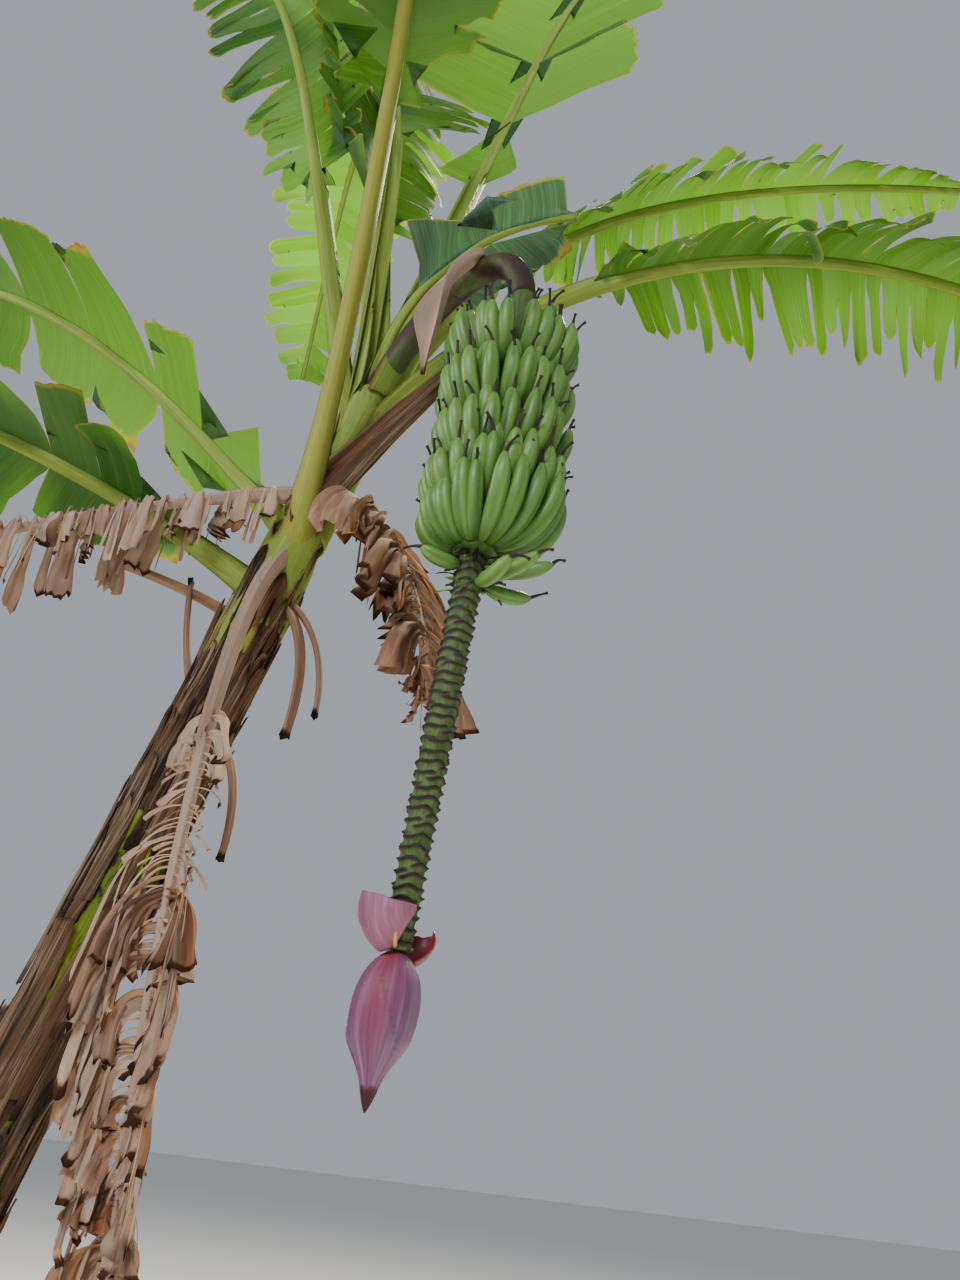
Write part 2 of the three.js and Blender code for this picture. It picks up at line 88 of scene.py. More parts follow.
def ring(angle, size):
    """Two coordinates that close round a limb, for patterns and noise."""
    return cos(angle) * size, sin(angle) * size


def outwards(angle, radius):
    """A level step of that many millimetres, in metres."""
    return Vector((*ring(angle, 1), 0)) * (radius * MM)


# %% [markdown]
# A stalk, a fruit or a leaf's rib all bend the same way: they set off at one angle, and gravity turns
# them to another. One class makes that line, and tells which way it runs and where its side and top are.

# %% A line that bends
class Line:
    STEPS = 60

    def __init__(self, start, heading, rise, fall, late, length, sway=0.0, roll=0.0, **_):
        self.heading, self.rise, self.fall, self.late = heading, rise, fall, late
        self.length, self.sway, self.roll = length * MM, sway, roll
        self.points = [Vector(start)]
        for i in range(self.STEPS):
            along = self.frame((i + 0.5) / self.STEPS)[0]
            self.points.append(self.points[-1] + along * (self.length / self.STEPS))

    def place(self, t):
        at = clamp(t) * self.STEPS
        before = min(int(at), self.STEPS - 1)
        return self.points[before].lerp(self.points[before + 1], at - before)

    def frame(self, t):
        climb = radians(self.rise + (self.fall - self.rise) * clamp(t) ** self.late)
        turn = radians(self.heading + self.sway * t)
        level = cos(climb)
        along = Vector((level * cos(turn), level * sin(turn), sin(climb)))
        side = Vector((-sin(turn), cos(turn), 0))
        if self.roll:
            side.rotate(Quaternion(along, radians(self.roll)))
        return along, side, along.cross(side), climb

    def around(self, turn, t, radius, flat=1.0):
        """A point on a round limb that has this line as its middle."""
        _, side, above, _ = self.frame(t)
        x, y = ring(tau * turn, radius * MM)
        return self.place(t) + side * x + above * (y * flat)


# %% [markdown]
# Two operators make nearly every shape here. A grid of faces is bent into a sheet, and a circle is
# extruded ring by ring into a limb. Each corner also keeps three marks for the materials: `grain`, its
# place in metres on a flat pattern, `tint`, which sets one strip off from the next, and `worn`.

# %% Sheets and limbs
class Shape:
    def __init__(self):
        self.bm = bmesh.new()
        self.grain = self.bm.verts.layers.float_vector.new("grain")
        self.tint = self.bm.verts.layers.float.new("tint")
        self.worn = self.bm.verts.layers.float.new("worn")

    def set(self, corner, co, grain, tint=0.5, worn=0.0):
        corner.co = co
        corner[self.grain] = Vector(grain)
        corner[self.tint] = tint
        corner[self.worn] = worn

    def sheet(self, columns, rows, place):
        """`place` takes two shares from 0 to 1 and gives (place, grain, tint, worn)."""
        made = bmesh.ops.create_grid(self.bm, x_segments=columns, y_segments=rows, size=0.5)["verts"]
        for corner in made:
            self.set(corner, *place(corner.co.x + 0.5, corner.co.y + 0.5))

    def limb(self, sides, rings, place, finish=0):
        """`place` takes the turn round the limb and the share along it, from 0 to 1."""
        first = bmesh.ops.create_circle(self.bm, cap_ends=True, segments=sides, radius=1)["verts"]
        turn = {corner: (atan2(corner.co.y, corner.co.x) / tau) % 1 for corner in first}
        everything = list(first)
        for corner in first:
            self.set(corner, *place(turn[corner], 0.0))
        edges = list({edge for corner in first for edge in corner.link_edges})
        for i in range(rings):
            made = bmesh.ops.extrude_edge_only(self.bm, edges=edges)["geom"]
            fresh = {part for part in made if isinstance(part, bmesh.types.BMVert)}
            edges = [part for part in made if isinstance(part, bmesh.types.BMEdge)
                     and part.verts[0] in fresh and part.verts[1] in fresh]
            older, turn = turn, {}
            for corner in fresh:
                for edge in corner.link_edges:
                    other = edge.other_vert(corner)
                    if other in older:
                        turn[corner] = older[other]
                self.set(corner, *place(turn[corner], (i + 1) / rings))
            everything += fresh
        cap = bmesh.ops.contextual_create(self.bm, geom=edges)["faces"]
        faces = {face for corner in everything for face in corner.link_faces} | set(cap)
        bmesh.ops.recalc_face_normals(self.bm, faces=list(faces))
        for face in faces:
            face.material_index = finish


def keep(shape, name, stands_for, finishes, thick=0.0):
    """Turns a shape into a finished piece that rides on the plant."""
    mesh = bpy.data.meshes.new(name)
    shape.bm.to_mesh(mesh)
    shape.bm.free()
    mesh.shade_smooth()
    for finish in finishes:
        mesh.materials.append(finish)
    piece = bpy.data.objects.new(name, mesh)
    bpy.context.collection.objects.link(piece)
    if thick:
        wall = piece.modifiers.new("thickness", "SOLIDIFY")
        wall.thickness = thick * MM
        wall.offset = 0.0
    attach(piece, "root")
    if stands_for:
        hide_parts(*stands_for)
    print(f"{name}: {len(mesh.polygons)} faces")
    return piece


# %% [markdown]
# ## Camera, light and floor
# The plant is seen from close by, at eye height, by someone who looks up into its crown with the view
# tipped a little to one side. Most of the light comes from high up behind it, because that is what
# makes leaves glow, with a broad soft light from the front for the fruit.

# %% Camera
EYE = Vector((1.063, -1.9, 1.5))
PITCH, ROLL = radians(27), radians(7)
SENSOR, FOCAL_SHARE = 36, 961.5 / 1280
forward = Vector((0, cos(PITCH), sin(PITCH)))
level_right = Vector((1, 0, 0))
level_up = Vector((0, -sin(PITCH), cos(PITCH)))
right = level_right * cos(ROLL) + level_up * sin(ROLL)
up = level_up * cos(ROLL) - level_right * sin(ROLL)

lens = bpy.data.cameras.new("camera")
lens.sensor_width = SENSOR
lens.lens = SENSOR * FOCAL_SHARE
lens.clip_start = 0.02
camera = bpy.data.objects.new("camera", lens)
camera.matrix_world = Matrix((right, up, -forward)).transposed().to_4x4()
camera.location = EYE
bpy.context.collection.objects.link(camera)
bpy.context.scene.camera = camera
print("camera lens, mm:", round(lens.lens, 2))

# %% Light
def paint(red, green, blue):
    """A colour as it is picked on a screen, from 0 to 255, made linear."""
    def linear(value):
        value /= 255
        return value / 12.92 if value <= 0.04045 else ((value + 0.055) / 1.055) ** 2.4
    return (linear(red), linear(green), linear(blue), 1.0)


def lamp(name, place, target, size, power, colour):
    light = bpy.data.lights.new(name, "AREA")
    light.shape = "DISK"
    light.size = size
    light.energy = power
    light.color = colour[:3]
    body = bpy.data.objects.new(name, light)
    body.location = place
    body.rotation_euler = (Vector(target) - Vector(place)).to_track_quat("-Z", "Y").to_euler()
    bpy.context.collection.objects.link(body)


CROWN = (0.7, 0.0, 3.4)
lamp("sun from behind", (2.0, 4.0, 9.5), CROWN, 2.0, 1900, paint(255, 246, 222))
lamp("soft front", (-1.0, -6.5, 5.5), CROWN, 3.0, 430, paint(244, 248, 255))
lamp("soft left", (-5.5, -1.0, 4.5), CROWN, 2.5, 260, paint(240, 246, 255))
print("lamps:", [light.name for light in bpy.data.lights])
world = bpy.data.worlds.new("studio")
world.use_nodes = True
sky = world.node_tree.nodes["Background"].inputs
sky["Color"].default_value = paint(226, 234, 244)
sky["Strength"].default_value = 0.5
bpy.context.scene.world = world

# %% Floor
FLOOR_HALF = 30
floor_mesh = bpy.data.meshes.new("floor")
floor_shape = bmesh.new()
bmesh.ops.create_grid(floor_shape, x_segments=1, y_segments=1, size=FLOOR_HALF)
floor_shape.to_mesh(floor_mesh)
floor_shape.free()
floor = bpy.data.objects.new("floor", floor_mesh)
bpy.context.collection.objects.link(floor)
floor_paint = bpy.data.materials.new("floor")
floor_paint.use_nodes = True
matt = floor_paint.node_tree.nodes["Principled BSDF"].inputs
matt["Base Color"].default_value = paint(222, 221, 217)
matt["Roughness"].default_value = 0.9
floor_mesh.materials.append(floor_paint)

# %% [markdown]
# ## Finishes
# Almost everything on this plant is streaked lengthwise: veins run across a blade, fibres run down a
# dry sheath, and fine ridges run along a stalk. So one node group makes streaks from the `grain` mark,
# and another makes blotches. Each finish places them with its own sizes and colours.

# %% Node helpers
def wire(tree, socket, value):
    """Sets a socket, or links it where the value is the socket of another node."""
    if isinstance(value, bpy.types.NodeSocket):
        tree.links.new(value, socket)
    else:
        socket.default_value = value


def node(tree, kind, wires=None, **settings):
    made = tree.nodes.new(f"ShaderNode{kind}")
    for key, value in settings.items():
        setattr(made, key, value)
    for key, value in (wires or {}).items():
        wire(tree, made.inputs[key], value)
    return made


def reckon(tree, operation, *values):
    return node(tree, "Math", dict(enumerate(values)), operation=operation).outputs[0]


def multiplied(tree, first, second):
    return node(tree, "VectorMath", {0: first, 1: second}, operation="MULTIPLY").outputs[0]


def within(tree, value, low, high):
    return node(tree, "MapRange", {"Value": value, "From Min": low, "From Max": high}).outputs[0]


def effect(name, output, **inputs):
    """A new node group, with the sockets it is given and the socket that it gives."""
    tree = bpy.data.node_groups.new(name, "ShaderNodeTree")
    for label, kind in inputs.items():
        tree.interface.new_socket(label, in_out="INPUT", socket_type=f"NodeSocket{kind}")
    tree.interface.new_socket(output, in_out="OUTPUT", socket_type="NodeSocketFloat")
    return tree, tree.nodes.new("NodeGroupInput").outputs, tree.nodes.new("NodeGroupOutput").inputs[output]


# %% Streaks and blotches
streaks, given, streak_out = effect("streaks", "Streak", Grain="Vector", Fine="Float", Stretch="Float")
slow = reckon(streaks, "MULTIPLY", given["Fine"], given["Stretch"])
scale = node(streaks, "CombineXYZ", {"X": given["Fine"], "Y": given["Fine"], "Z": slow})
spread = multiplied(streaks, given["Grain"], scale.outputs[0])
lines = node(streaks, "TexNoise", {"Vector": spread, "Scale": 1.0, "Detail": 5.0, "Roughness": 0.62})
wire(streaks, streak_out, lines.outputs["Fac"])

blotches, given, mask_out = effect("blotches", "Mask", Grain="Vector", Fine="Float", Level="Float")
SQUASH = (1.0, 1.0, 0.35)
squashed = multiplied(blotches, given["Grain"], SQUASH)
spots = node(
    blotches, "TexNoise", {"Vector": squashed, "Scale": given["Fine"], "Detail": 4.0, "Roughness": 0.7})
above = reckon(blotches, "SUBTRACT", spots.outputs["Fac"], given["Level"])
wire(blotches, mask_out, within(blotches, above, -0.03, 0.05))
print("node groups:", [group.name for group in bpy.data.node_groups])


# %% One recipe for every finish
BROAD_FINE, BROAD_STRETCH = 0.16, 2
CONTRAST = (0.72, 1.28)
STREAKS_IN_TINT = 0.35
WORN_JITTER, WORN_BAND, WORN_RAMP = 0.9, (0.2, 0.5), (0.3, 0.9)
GLOW_FRESH, GLOW_WORN = 0.62, 0.2


def mark(tree, name, output="Fac"):
    return node(tree, "Attribute", attribute_name=name).outputs[output]


def grouped(tree, group, **wires):
    return node(tree, "Group", wires, node_tree=group).outputs[0]


def ramp(tree, value, low, high, colours):
    """A colour ramp with its colours evenly spaced from low to high."""
    made = node(tree, "ValToRGB", {"Fac": value})
    points = made.color_ramp.elements
    while len(points) < len(colours):
        points.new(0.5)
    for i, (point, colour) in enumerate(zip(points, colours)):
        point.position = low + (high - low) * i / (len(colours) - 1)
        point.color = paint(*colour)
    return made.outputs["Color"]


def blend(tree, share, first, second):
    return node(tree, "Mix", {0: share, 6: first, 7: second}, data_type="RGBA").outputs[2]


def plant_finish(name, tones, fine, stretch, roughness, bump, depth, tinted=None, blotch=None, worn=None,
                 glow=None, glow_share=0.0, shine=0.5):
    """`tones` runs from the dark to the light streaks, `tinted` is what a strip with a high tint turns
    to, `blotch` is (colour, size, level), `worn` colours the mark of that name, and `glow` is the light
    that shines through."""
    made = bpy.data.materials.new(name)
    made.use_nodes = True
    tree = made.node_tree
    skin = tree.nodes["Principled BSDF"]
    grain, tint, age = mark(tree, "grain", "Vector"), mark(tree, "tint"), mark(tree, "worn")
    streak = grouped(tree, streaks, Grain=grain, Fine=fine, Stretch=stretch)
    broad = grouped(tree, streaks, Grain=grain, Fine=fine * BROAD_FINE, Stretch=stretch * BROAD_STRETCH)
    both = reckon(tree, "ADD", streak, broad)
    colour = ramp(tree, within(tree, both, *CONTRAST), 0, 1, tones)
    if tinted:
        colour = blend(tree, tint, colour, blend(tree, STREAKS_IN_TINT, paint(*tinted), colour))
    if blotch:
        dark, size, level = blotch
        spotted = grouped(tree, blotches, Grain=grain, Fine=size, Level=level)
        spotted = reckon(tree, "MULTIPLY", spotted, reckon(tree, "SUBTRACT", 1.0, tint))
        colour = blend(tree, spotted, colour, paint(*dark))
    fresh, share = colour, 0.0
    if worn:
        jitter = reckon(tree, "SUBTRACT", broad, 0.5)
        shifted = reckon(tree, "MULTIPLY_ADD", jitter, WORN_JITTER, age)
        share = within(tree, shifted, *WORN_BAND)
        colour = blend(tree, share, colour, ramp(tree, shifted, *WORN_RAMP, worn))
    wire(tree, skin.inputs["Base Color"], colour)
    skin.inputs["Roughness"].default_value = roughness
    skin.inputs["Specular IOR Level"].default_value = shine
    relief = node(tree, "Bump", {"Strength": bump, "Distance": depth * MM, "Height": both}).outputs["Normal"]
    wire(tree, skin.inputs["Normal"], relief)
    if glow:
        warm_fresh, warm_worn = (blend(tree, amount, base, paint(*glow))
                                 for amount, base in ((GLOW_FRESH, fresh), (GLOW_WORN, colour)))
        warm = blend(tree, share, warm_fresh, warm_worn)
        through = node(tree, "BsdfTranslucent", {"Color": warm, "Normal": relief})
        mixed = node(tree, "MixShader", {0: glow_share, 1: skin.outputs[0], 2: through.outputs[0]})
        wire(tree, tree.nodes["Material Output"].inputs["Surface"], mixed.outputs[0])
    return made


# %% The finishes of this plant
# After the tones come how fine the streaks are, their stretch, the roughness, and the strength and depth
# of the relief.
YELLOW, OCHRE, BROWN = (176, 160, 40), (140, 96, 34), (74, 46, 28)
leaf_green = plant_finish(
    "leaf_green", [(10, 36, 8), (34, 76, 18), (66, 112, 30)], 150, 0.02, 0.58, 0.7, 1.8,
    tinted=(92, 122, 74), worn=[YELLOW, OCHRE, BROWN], glow=(104, 160, 8), glow_share=0.42,
    shine=0.22)
leaf_waxy = plant_finish(
    "leaf_waxy", [(34, 62, 44), (56, 88, 64), (84, 116, 90)], 190, 0.03, 0.5, 0.5, 1.2,
    worn=[YELLOW, BROWN], glow=(70, 120, 40), glow_share=0.2, shine=0.4)
rib_green = plant_finish(
    "rib_green", [(84, 112, 40), (112, 138, 58), (142, 164, 84)], 260, 0.02, 0.62, 0.3, 0.6,
    tinted=(160, 150, 70), worn=[(128, 112, 50), (84, 58, 34)], shine=0.04)
dry_blade = plant_finish(
    "dry_blade", [(70, 44, 30), (128, 88, 62), (172, 134, 104)], 240, 0.04, 0.85, 0.8, 1.5,
    tinted=(214, 190, 168), worn=[(84, 50, 34), (30, 20, 16)], glow=(196, 130, 80),
    glow_share=0.18, shine=0.12)
dry_fibre = plant_finish(
    "dry_fibre", [(30, 22, 16), (88, 70, 52), (166, 146, 120)], 300, 0.025, 0.88, 1.0, 2.2,
    tinted=(108, 70, 46), worn=[(52, 36, 26), (22, 16, 12)], shine=0.12)
trunk_skin = plant_finish(
    "trunk_skin", [(70, 84, 14), (118, 134, 22), (160, 172, 42)], 170, 0.05, 0.75, 0.8, 2.0,
    tinted=(124, 144, 70), blotch=((34, 24, 16), 30, 0.5),
    worn=[(98, 72, 48), (36, 25, 19)], shine=0.3)
# fruit_green's tinted colour is mostly painted light: a finger turns to it along its ridges and towards its
# tip.
fruit_green = plant_finish(
    "fruit_green", [(34, 62, 16), (64, 102, 30), (100, 140, 54)], 60, 0.12, 0.42, 0.2, 0.6,
    tinted=(122, 160, 78), worn=[(92, 104, 44), (24, 18, 14)], shine=0.4)
dry_flower = plant_finish(
    "dry_flower", [(16, 11, 10), (36, 25, 22), (74, 48, 42)], 300, 0.1, 0.8, 0.6, 1.0)
# Its worn colours are the scars on the hanging stalk and painted shade on the bent one.
stalk_scars_and_painted_shade = plant_finish(
    "stalk_scars_and_painted_shade", [(46, 66, 26), (72, 94, 40), (100, 120, 60)], 160, 0.2, 0.6, 0.5, 1.2,
    worn=[(74, 54, 40), (34, 24, 21)], shine=0.35)
bud_skin = plant_finish(
    "bud_skin", [(82, 48, 76), (112, 74, 104), (146, 110, 136)], 150, 0.04, 0.5, 0.3, 0.8,
    tinted=(150, 46, 62), worn=[(88, 30, 48), (52, 14, 26)], shine=0.35)
bract_outer = plant_finish(
    "bract_outer", [(112, 56, 82), (146, 86, 110), (172, 118, 138)], 150, 0.04, 0.5, 0.3, 0.8)
bract_inner = plant_finish(
    "bract_inner", [(76, 8, 22), (112, 16, 34), (142, 34, 48)], 130, 0.05, 0.42, 0.3, 0.8)
flower_gold = plant_finish(
    "flower_gold", [(190, 112, 34), (220, 150, 60), (236, 190, 110)], 200, 0.1, 0.5, 0.2, 0.5)
print("finishes:", len(bpy.data.materials))

# %% [markdown]
# ## The false trunk
# It leans, swells at the foot and narrows to the neck. Its skin is yellow-green under brown stains, in
# long fibrous folds, and each old sheath ends in an edge that stands a little off the one inside it. So
# one fine grid is wrapped round the trunk and pushed out by those edges, folds and fibres.

# %% Trunk sizes
LEAN, TRUNK_HEIGHT = 0.232, 3110
TRUNK_LOW, TRUNK_HIGH = 98, 52
FLARE, FLARE_HEIGHT = 62, 170
SWELL, SWELL_EVERY = 0.035, 300
GRAIN_RADIUS = 0.09


def axis(height):
    return Vector((LEAN * height, 0, height)) * MM


def trunk_radius(angle, height):
    plain = lerp(TRUNK_LOW, TRUNK_HIGH, height / TRUNK_HEIGHT)
    flare = FLARE * exp(-height / FLARE_HEIGHT)
    return (plain + flare) * (1 + SWELL * cos(3 * angle + height / SWELL_EVERY))


def round_trunk(angle, height, off):
    return axis(height) + outwards(angle, trunk_radius(angle, height) + off)


print("trunk radius at the ground and at the neck, mm:",
      round(trunk_radius(0, 0)), round(trunk_radius(0, TRUNK_HEIGHT)))


# %% Trunk skin
EDGE_EVERY, EDGE_PROUD = 230, 7.0
FOLD_DEEP, FOLD_FINE, FOLD_TALL = 2.4, 7, 260
FIBRE_DEEP, FIBRE_FINE, FIBRE_TALL = 1.2, 26, 130
NECK_FROM, NECK_RAGGED, NECK_BLEND = 2480, 110, 120
STAIN_LEVEL, STAIN_SPREAD, STAIN_EDGE = 0.72, 1.45, 0.35
SKIN_COLUMNS, SKIN_ROWS, SKIN_DEPTH = 144, 560, 2


def trunk_relief(angle, height):
    wander = 0.35 * rough(*ring(angle, 1.5), height / 500)
    turns = height / EDGE_EVERY + angle / tau * 2 + wander + 0.12 * rough(angle * 9, height / 60, 3)
    edge = (turns % 1) ** 2 * EDGE_PROUD
    fold = FOLD_DEEP * rough(*ring(angle, FOLD_FINE), height / FOLD_TALL)
    fibre = FIBRE_DEEP * rough(*ring(angle, FIBRE_FINE), height / FIBRE_TALL)
    return edge + fold + fibre, turns % 1


def on_trunk(x, y):
    angle, height = tau * x, TRUNK_HEIGHT * y
    relief, up_sheath = trunk_relief(angle, height)
    green = 0.5 + 0.5 * rough(cos(angle) * 1.3 + 5, sin(angle) * 1.3, height / 420)
    neck = ease((height - NECK_FROM + NECK_RAGGED * rough(*ring(angle, 4), 2)) / NECK_BLEND)
    worn = clamp(STAIN_LEVEL - green * STAIN_SPREAD + STAIN_EDGE * up_sheath) * (1 - neck)
    point = round_trunk(angle, height, relief * (1 - 0.6 * neck) - SKIN_DEPTH)
    return point, (*ring(angle, GRAIN_RADIUS), height * MM), neck, worn


trunk = Shape()
trunk.sheet(SKIN_COLUMNS, SKIN_ROWS, on_trunk)
bmesh.ops.remove_doubles(trunk.bm, verts=trunk.bm.verts, dist=1e-5)
rims = [edge for edge in trunk.bm.edges if edge.is_boundary]
bmesh.ops.holes_fill(trunk.bm, edges=rims, sides=0)
bmesh.ops.recalc_face_normals(trunk.bm, faces=trunk.bm.faces)
keep(trunk, "trunk_skin", ["trunk"], [trunk_skin])

# %% [markdown]
# Old sheaths dry out and split into ribbons that peel from the top down. Each one here is a ring of
# narrow sheets round part of the trunk. Every ribbon has its own height, its own lean outwards and a
# ragged end.

# %% Old sheaths
# The height of its foot, how tall it is, the way it faces, how far round it goes (both in degrees) and
# how far it stands off. The first six are the measured ones.
OLD_SHEATHS = [
    (2180, 330, 215, 150, 26), (1830, 400, 320, 140, 22), (1480, 420, 100, 150, 24),
    (1160, 400, 250, 150, 26), (760, 450, 20, 150, 28), (330, 480, 170, 150, 30),
]
MORE_SHEATHS = [
    (2330, 250, 250, 200, 14), (2290, 270, 60, 190, 14), (2080, 380, 280, 170, 20), (2040, 360, 110, 170, 20),
    (1700, 420, 215, 110, 20), (1620, 380, 30, 160, 22), (1390, 420, 290, 90, 22), (1240, 400, 350, 130, 24),
    (960, 420, 130, 150, 24), (900, 440, 310, 80, 24), (620, 420, 215, 110, 26), (520, 420, 90, 150, 26),
    (250, 380, 290, 110, 24), (200, 380, 50, 150, 24), (40, 400, 190, 170, 20), (30, 380, 350, 170, 20),
    (2200, 300, 300, 100, 18), (1980, 300, 250, 60, 22),
]
RIBBON_NARROW, RIBBON_WIDER = 9, 40
LOOSE_ABOVE, LOOSE_PEEL = 0.84, 2.6
RIBBON_LIFT = 7


def ribbons(shape, low, tall, facing, around, off, seed):
    draw = seeded(seed)
    middle = radians(facing - around / 2)
    last = radians(facing + around / 2)
    while middle < last:
        width = (RIBBON_NARROW + RIBBON_WIDER * draw() ** 2) / trunk_radius(middle, low)
        start = low + tall * 0.4 * (draw() - 0.4)
        top = tall * (0.5 + 0.7 * draw())
        split = 0.2 + 0.6 * draw()
        loose = draw() > LOOSE_ABOVE
        peel = off * (0.15 + 0.6 * draw()) * (LOOSE_PEEL if loose else 1.0)
        sway, curl, tint, dark = draw() - 0.5, 12 * (draw() - 0.3), draw() ** 1.5, 0.5 * draw() ** 2
        number = 10 * draw()

        def place(x, y):
            end = 1 - 0.25 * abs(rough(x * 4, number, 7)) - 0.12 * (2 * x - 1) ** 2
            up_share = y * end
            free = clamp((up_share - split) / (1 - split))
            half = width * lerp(1.2, 0.5, up_share ** 1.5)
            angle = middle + (x - 0.5) * half + 0.12 * sway * free + 0.05 * rough(up_share * 3, number, 1)
            height = max(1, start + top * up_share - 0.35 * top * free ** 2 * loose)
            bow = curl * (4 * (x - 0.5) ** 2 - 0.5) * free
            fold = 2.5 * sin(x * 9 + number) * min(1, width * 3)
            lift = RIBBON_LIFT + 4 * rough(middle * 3, up_share * 3, number) + peel * free ** 1.4 + bow + fold
            grain = (x * half * GRAIN_RADIUS, number, height * MM)
            worn = clamp(dark + 0.5 * free ** 4 + 0.2 * (y < 0.08))
            return round_trunk(angle, height, lift), grain, tint, worn

        shape.sheet(4, 16, place)
        middle += width * (0.75 + 0.4 * draw())


sheaths = Shape()
for i, sheath in enumerate(OLD_SHEATHS + MORE_SHEATHS):
    ribbons(sheaths, *sheath, seed=80 + i)
measured = [f"old_sheath_{i + 1}" for i in range(len(OLD_SHEATHS))]
keep(sheaths, "old_sheaths", measured, [dry_fibre], thick=1.6)

# %% [markdown]
# ## Leaves
# A banana leaf is one huge blade on a thick channelled rib. Its veins run straight out from the rib, so
# wind tears it between them into strips, which hang. The lines and tears are the measured ones. Here each
# measured strip is torn again into finer ones, each with its own droop, twist, curl and end.

# %% The measured leaves
LEAF_SIZES = ("height", "heading", "rise", "fall", "late", "sway", "length", "roll",
              "stalk", "base", "neck", "wide", "strip", "droop", "seed")


def table(**rows):
    return {name: dict(zip(LEAF_SIZES, row)) for name, row in rows.items()}


LEAVES = table(
    middle=(3090, 133, 79, -25, 7.5, 21, 2970, 0, 0.25, 38, 16, 400, 420, 30, 11),
    right_high=(3040, 26, 79, -19, 8.1, -23, 2970, 60, 0.34, 30, 15, 420, 520, 20, 12),
    left_high=(2960, 172, 75, -31, 5.1, 25, 2760, 58, 0.34, 20, 13, 290, 300, 32, 13),
    right_back=(3000, 48, 70, -17, 1.83, -63, 2870, 0, 0.34, 21, 13, 280, 290, 60, 14),
    right_low=(2860, 349, 67, -33, 0.96, 19, 2480, 0, 0.36, 21, 13, 300, 270, 95, 15),
    front=(2640, 285, 53, -29, 2.18, -15, 2280, 0, 0.42, 23, 12, 290, 300, 85, 16),
    left_mid=(2670, 167, 45, -16, 2.15, -3, 2390, 22, 0.07, 20, 12, 300, 560, 30, 17),
    left_low=(2510, 188, 29, -24, 1.22, -1, 2310, 20, 0.09, 19, 12, 280, 400, 50, 18),
    flag=(3060, 340, 90, -8, 1.48, 3, 900, -28, 0.46, 10, 6, 175, 400, 30, 19),
    rear=(2950, 126, 86, -86, 2.4, -26, 4300, 0, 0.31, 21, 13, 480, 400, 12, 21))
DEAD_LEAVES = table(
    left=(2795, 203, 22, -41, 0.12, 0, 1690, 0, 0.12, 13, 9, 190, 280, 80, 35),
    right=(2790, 336, 21, -85, 0.36, 2, 700, 0, 0.2, 13, 8, 150, 200, 110, 32),
    hanging=(2630, 263, 25, -112, 0.22, 0, 1500, 30, 0.4, 14, 9, 120, 260, 70, 33))
FULL_TAPER, FLAG_TAPER = 0.5, 1
LEAVES["flag"]["taper"] = FLAG_TAPER
print("longest leaf, mm:", max(leaf["length"] for leaf in LEAVES.values()))


def torn(fine, near, sag, gap, twist, curl, short):
    """How a leaf is torn: `fine` is the width of a strip in mm, `near` how near the rib its tears may
    come, `sag` how strongly its own weight bends it, `gap` the share of its width that it has lost,
    `twist` in degrees, `curl` across it, and `short` the share that is left of the shortest strip."""
    return dict(fine=fine, near=near, sag=sag, gap=gap, twist=twist, curl=curl, short=short)


TORN = {
    "middle": torn(110, 0.2, 5, 0.2, 25, 0.12, 0.8), "right_high": torn(330, 0.55, 0.4, 0.05, 6, 0.03, 0.95),
    "left_high": torn(70, 0.08, 3.5, 0.2, 30, 0.2, 0.7), "right_back": torn(66, 0.08, 7, 0.3, 60, 0.25, 0.65),
    "right_low": torn(42, 0.04, 10, 0.45, 110, 0.4, 0.6), "front": torn(60, 0.06, 11, 0.4, 90, 0.4, 0.5),
    "left_mid": torn(330, 0.5, 0.6, 0.05, 6, 0.04, 0.95), "left_low": torn(150, 0.2, 3, 0.15, 25, 0.3, 0.75),
    "flag": torn(200, 0.7, 0.5, 0.05, 4, 0.06, 0.97), "rear": torn(95, 0.25, 2, 0.25, 20, 0.12, 0.7),
}
VEIN_LEAN, BLADE_LIFT, RIB_EDGE = 24, 14, 5
WING_SHARE, WING_LIFT = 1.1, 68
RIB_END, OPENS_OVER, TEAR_OPEN = 5, 0.05, 0.13
CELL_LONG, CELL_WIDE, BLADE_STEPS = 16, 13, 6
MARGIN_WORN, TEAR_WORN = 0.62, 0.3


# %% Where a point of a blade lies
def blade_outline(share, taper=FULL_TAPER):
    return sin(pi * clamp(share, 0.004, 0.985) ** 0.7) ** taper


def rib_half(leaf, t):
    if t < leaf["stalk"]:
        return lerp(leaf["base"], leaf["neck"], sqrt(clamp(t / leaf["stalk"])))
    return lerp(leaf["neck"], RIB_END, ((t - leaf["stalk"]) / (1 - leaf["stalk"])) ** 0.7)


def strips_of(leaf, end=1.0):
    draw = seeded(leaf["seed"])
    strips, start = [], leaf["stalk"]
    while start < end:
        width = leaf["strip"] * (0.6 + 0.8 * draw()) / leaf["length"]
        to = end if start + 1.5 * width > end else start + width
        droop = [leaf["droop"] * (0.75 + 0.5 * draw()) for _ in range(2)]
        reach = [0.88 + 0.24 * draw() for _ in range(2)]
        strips.append((start, to, droop, reach))
        start = to
    return strips


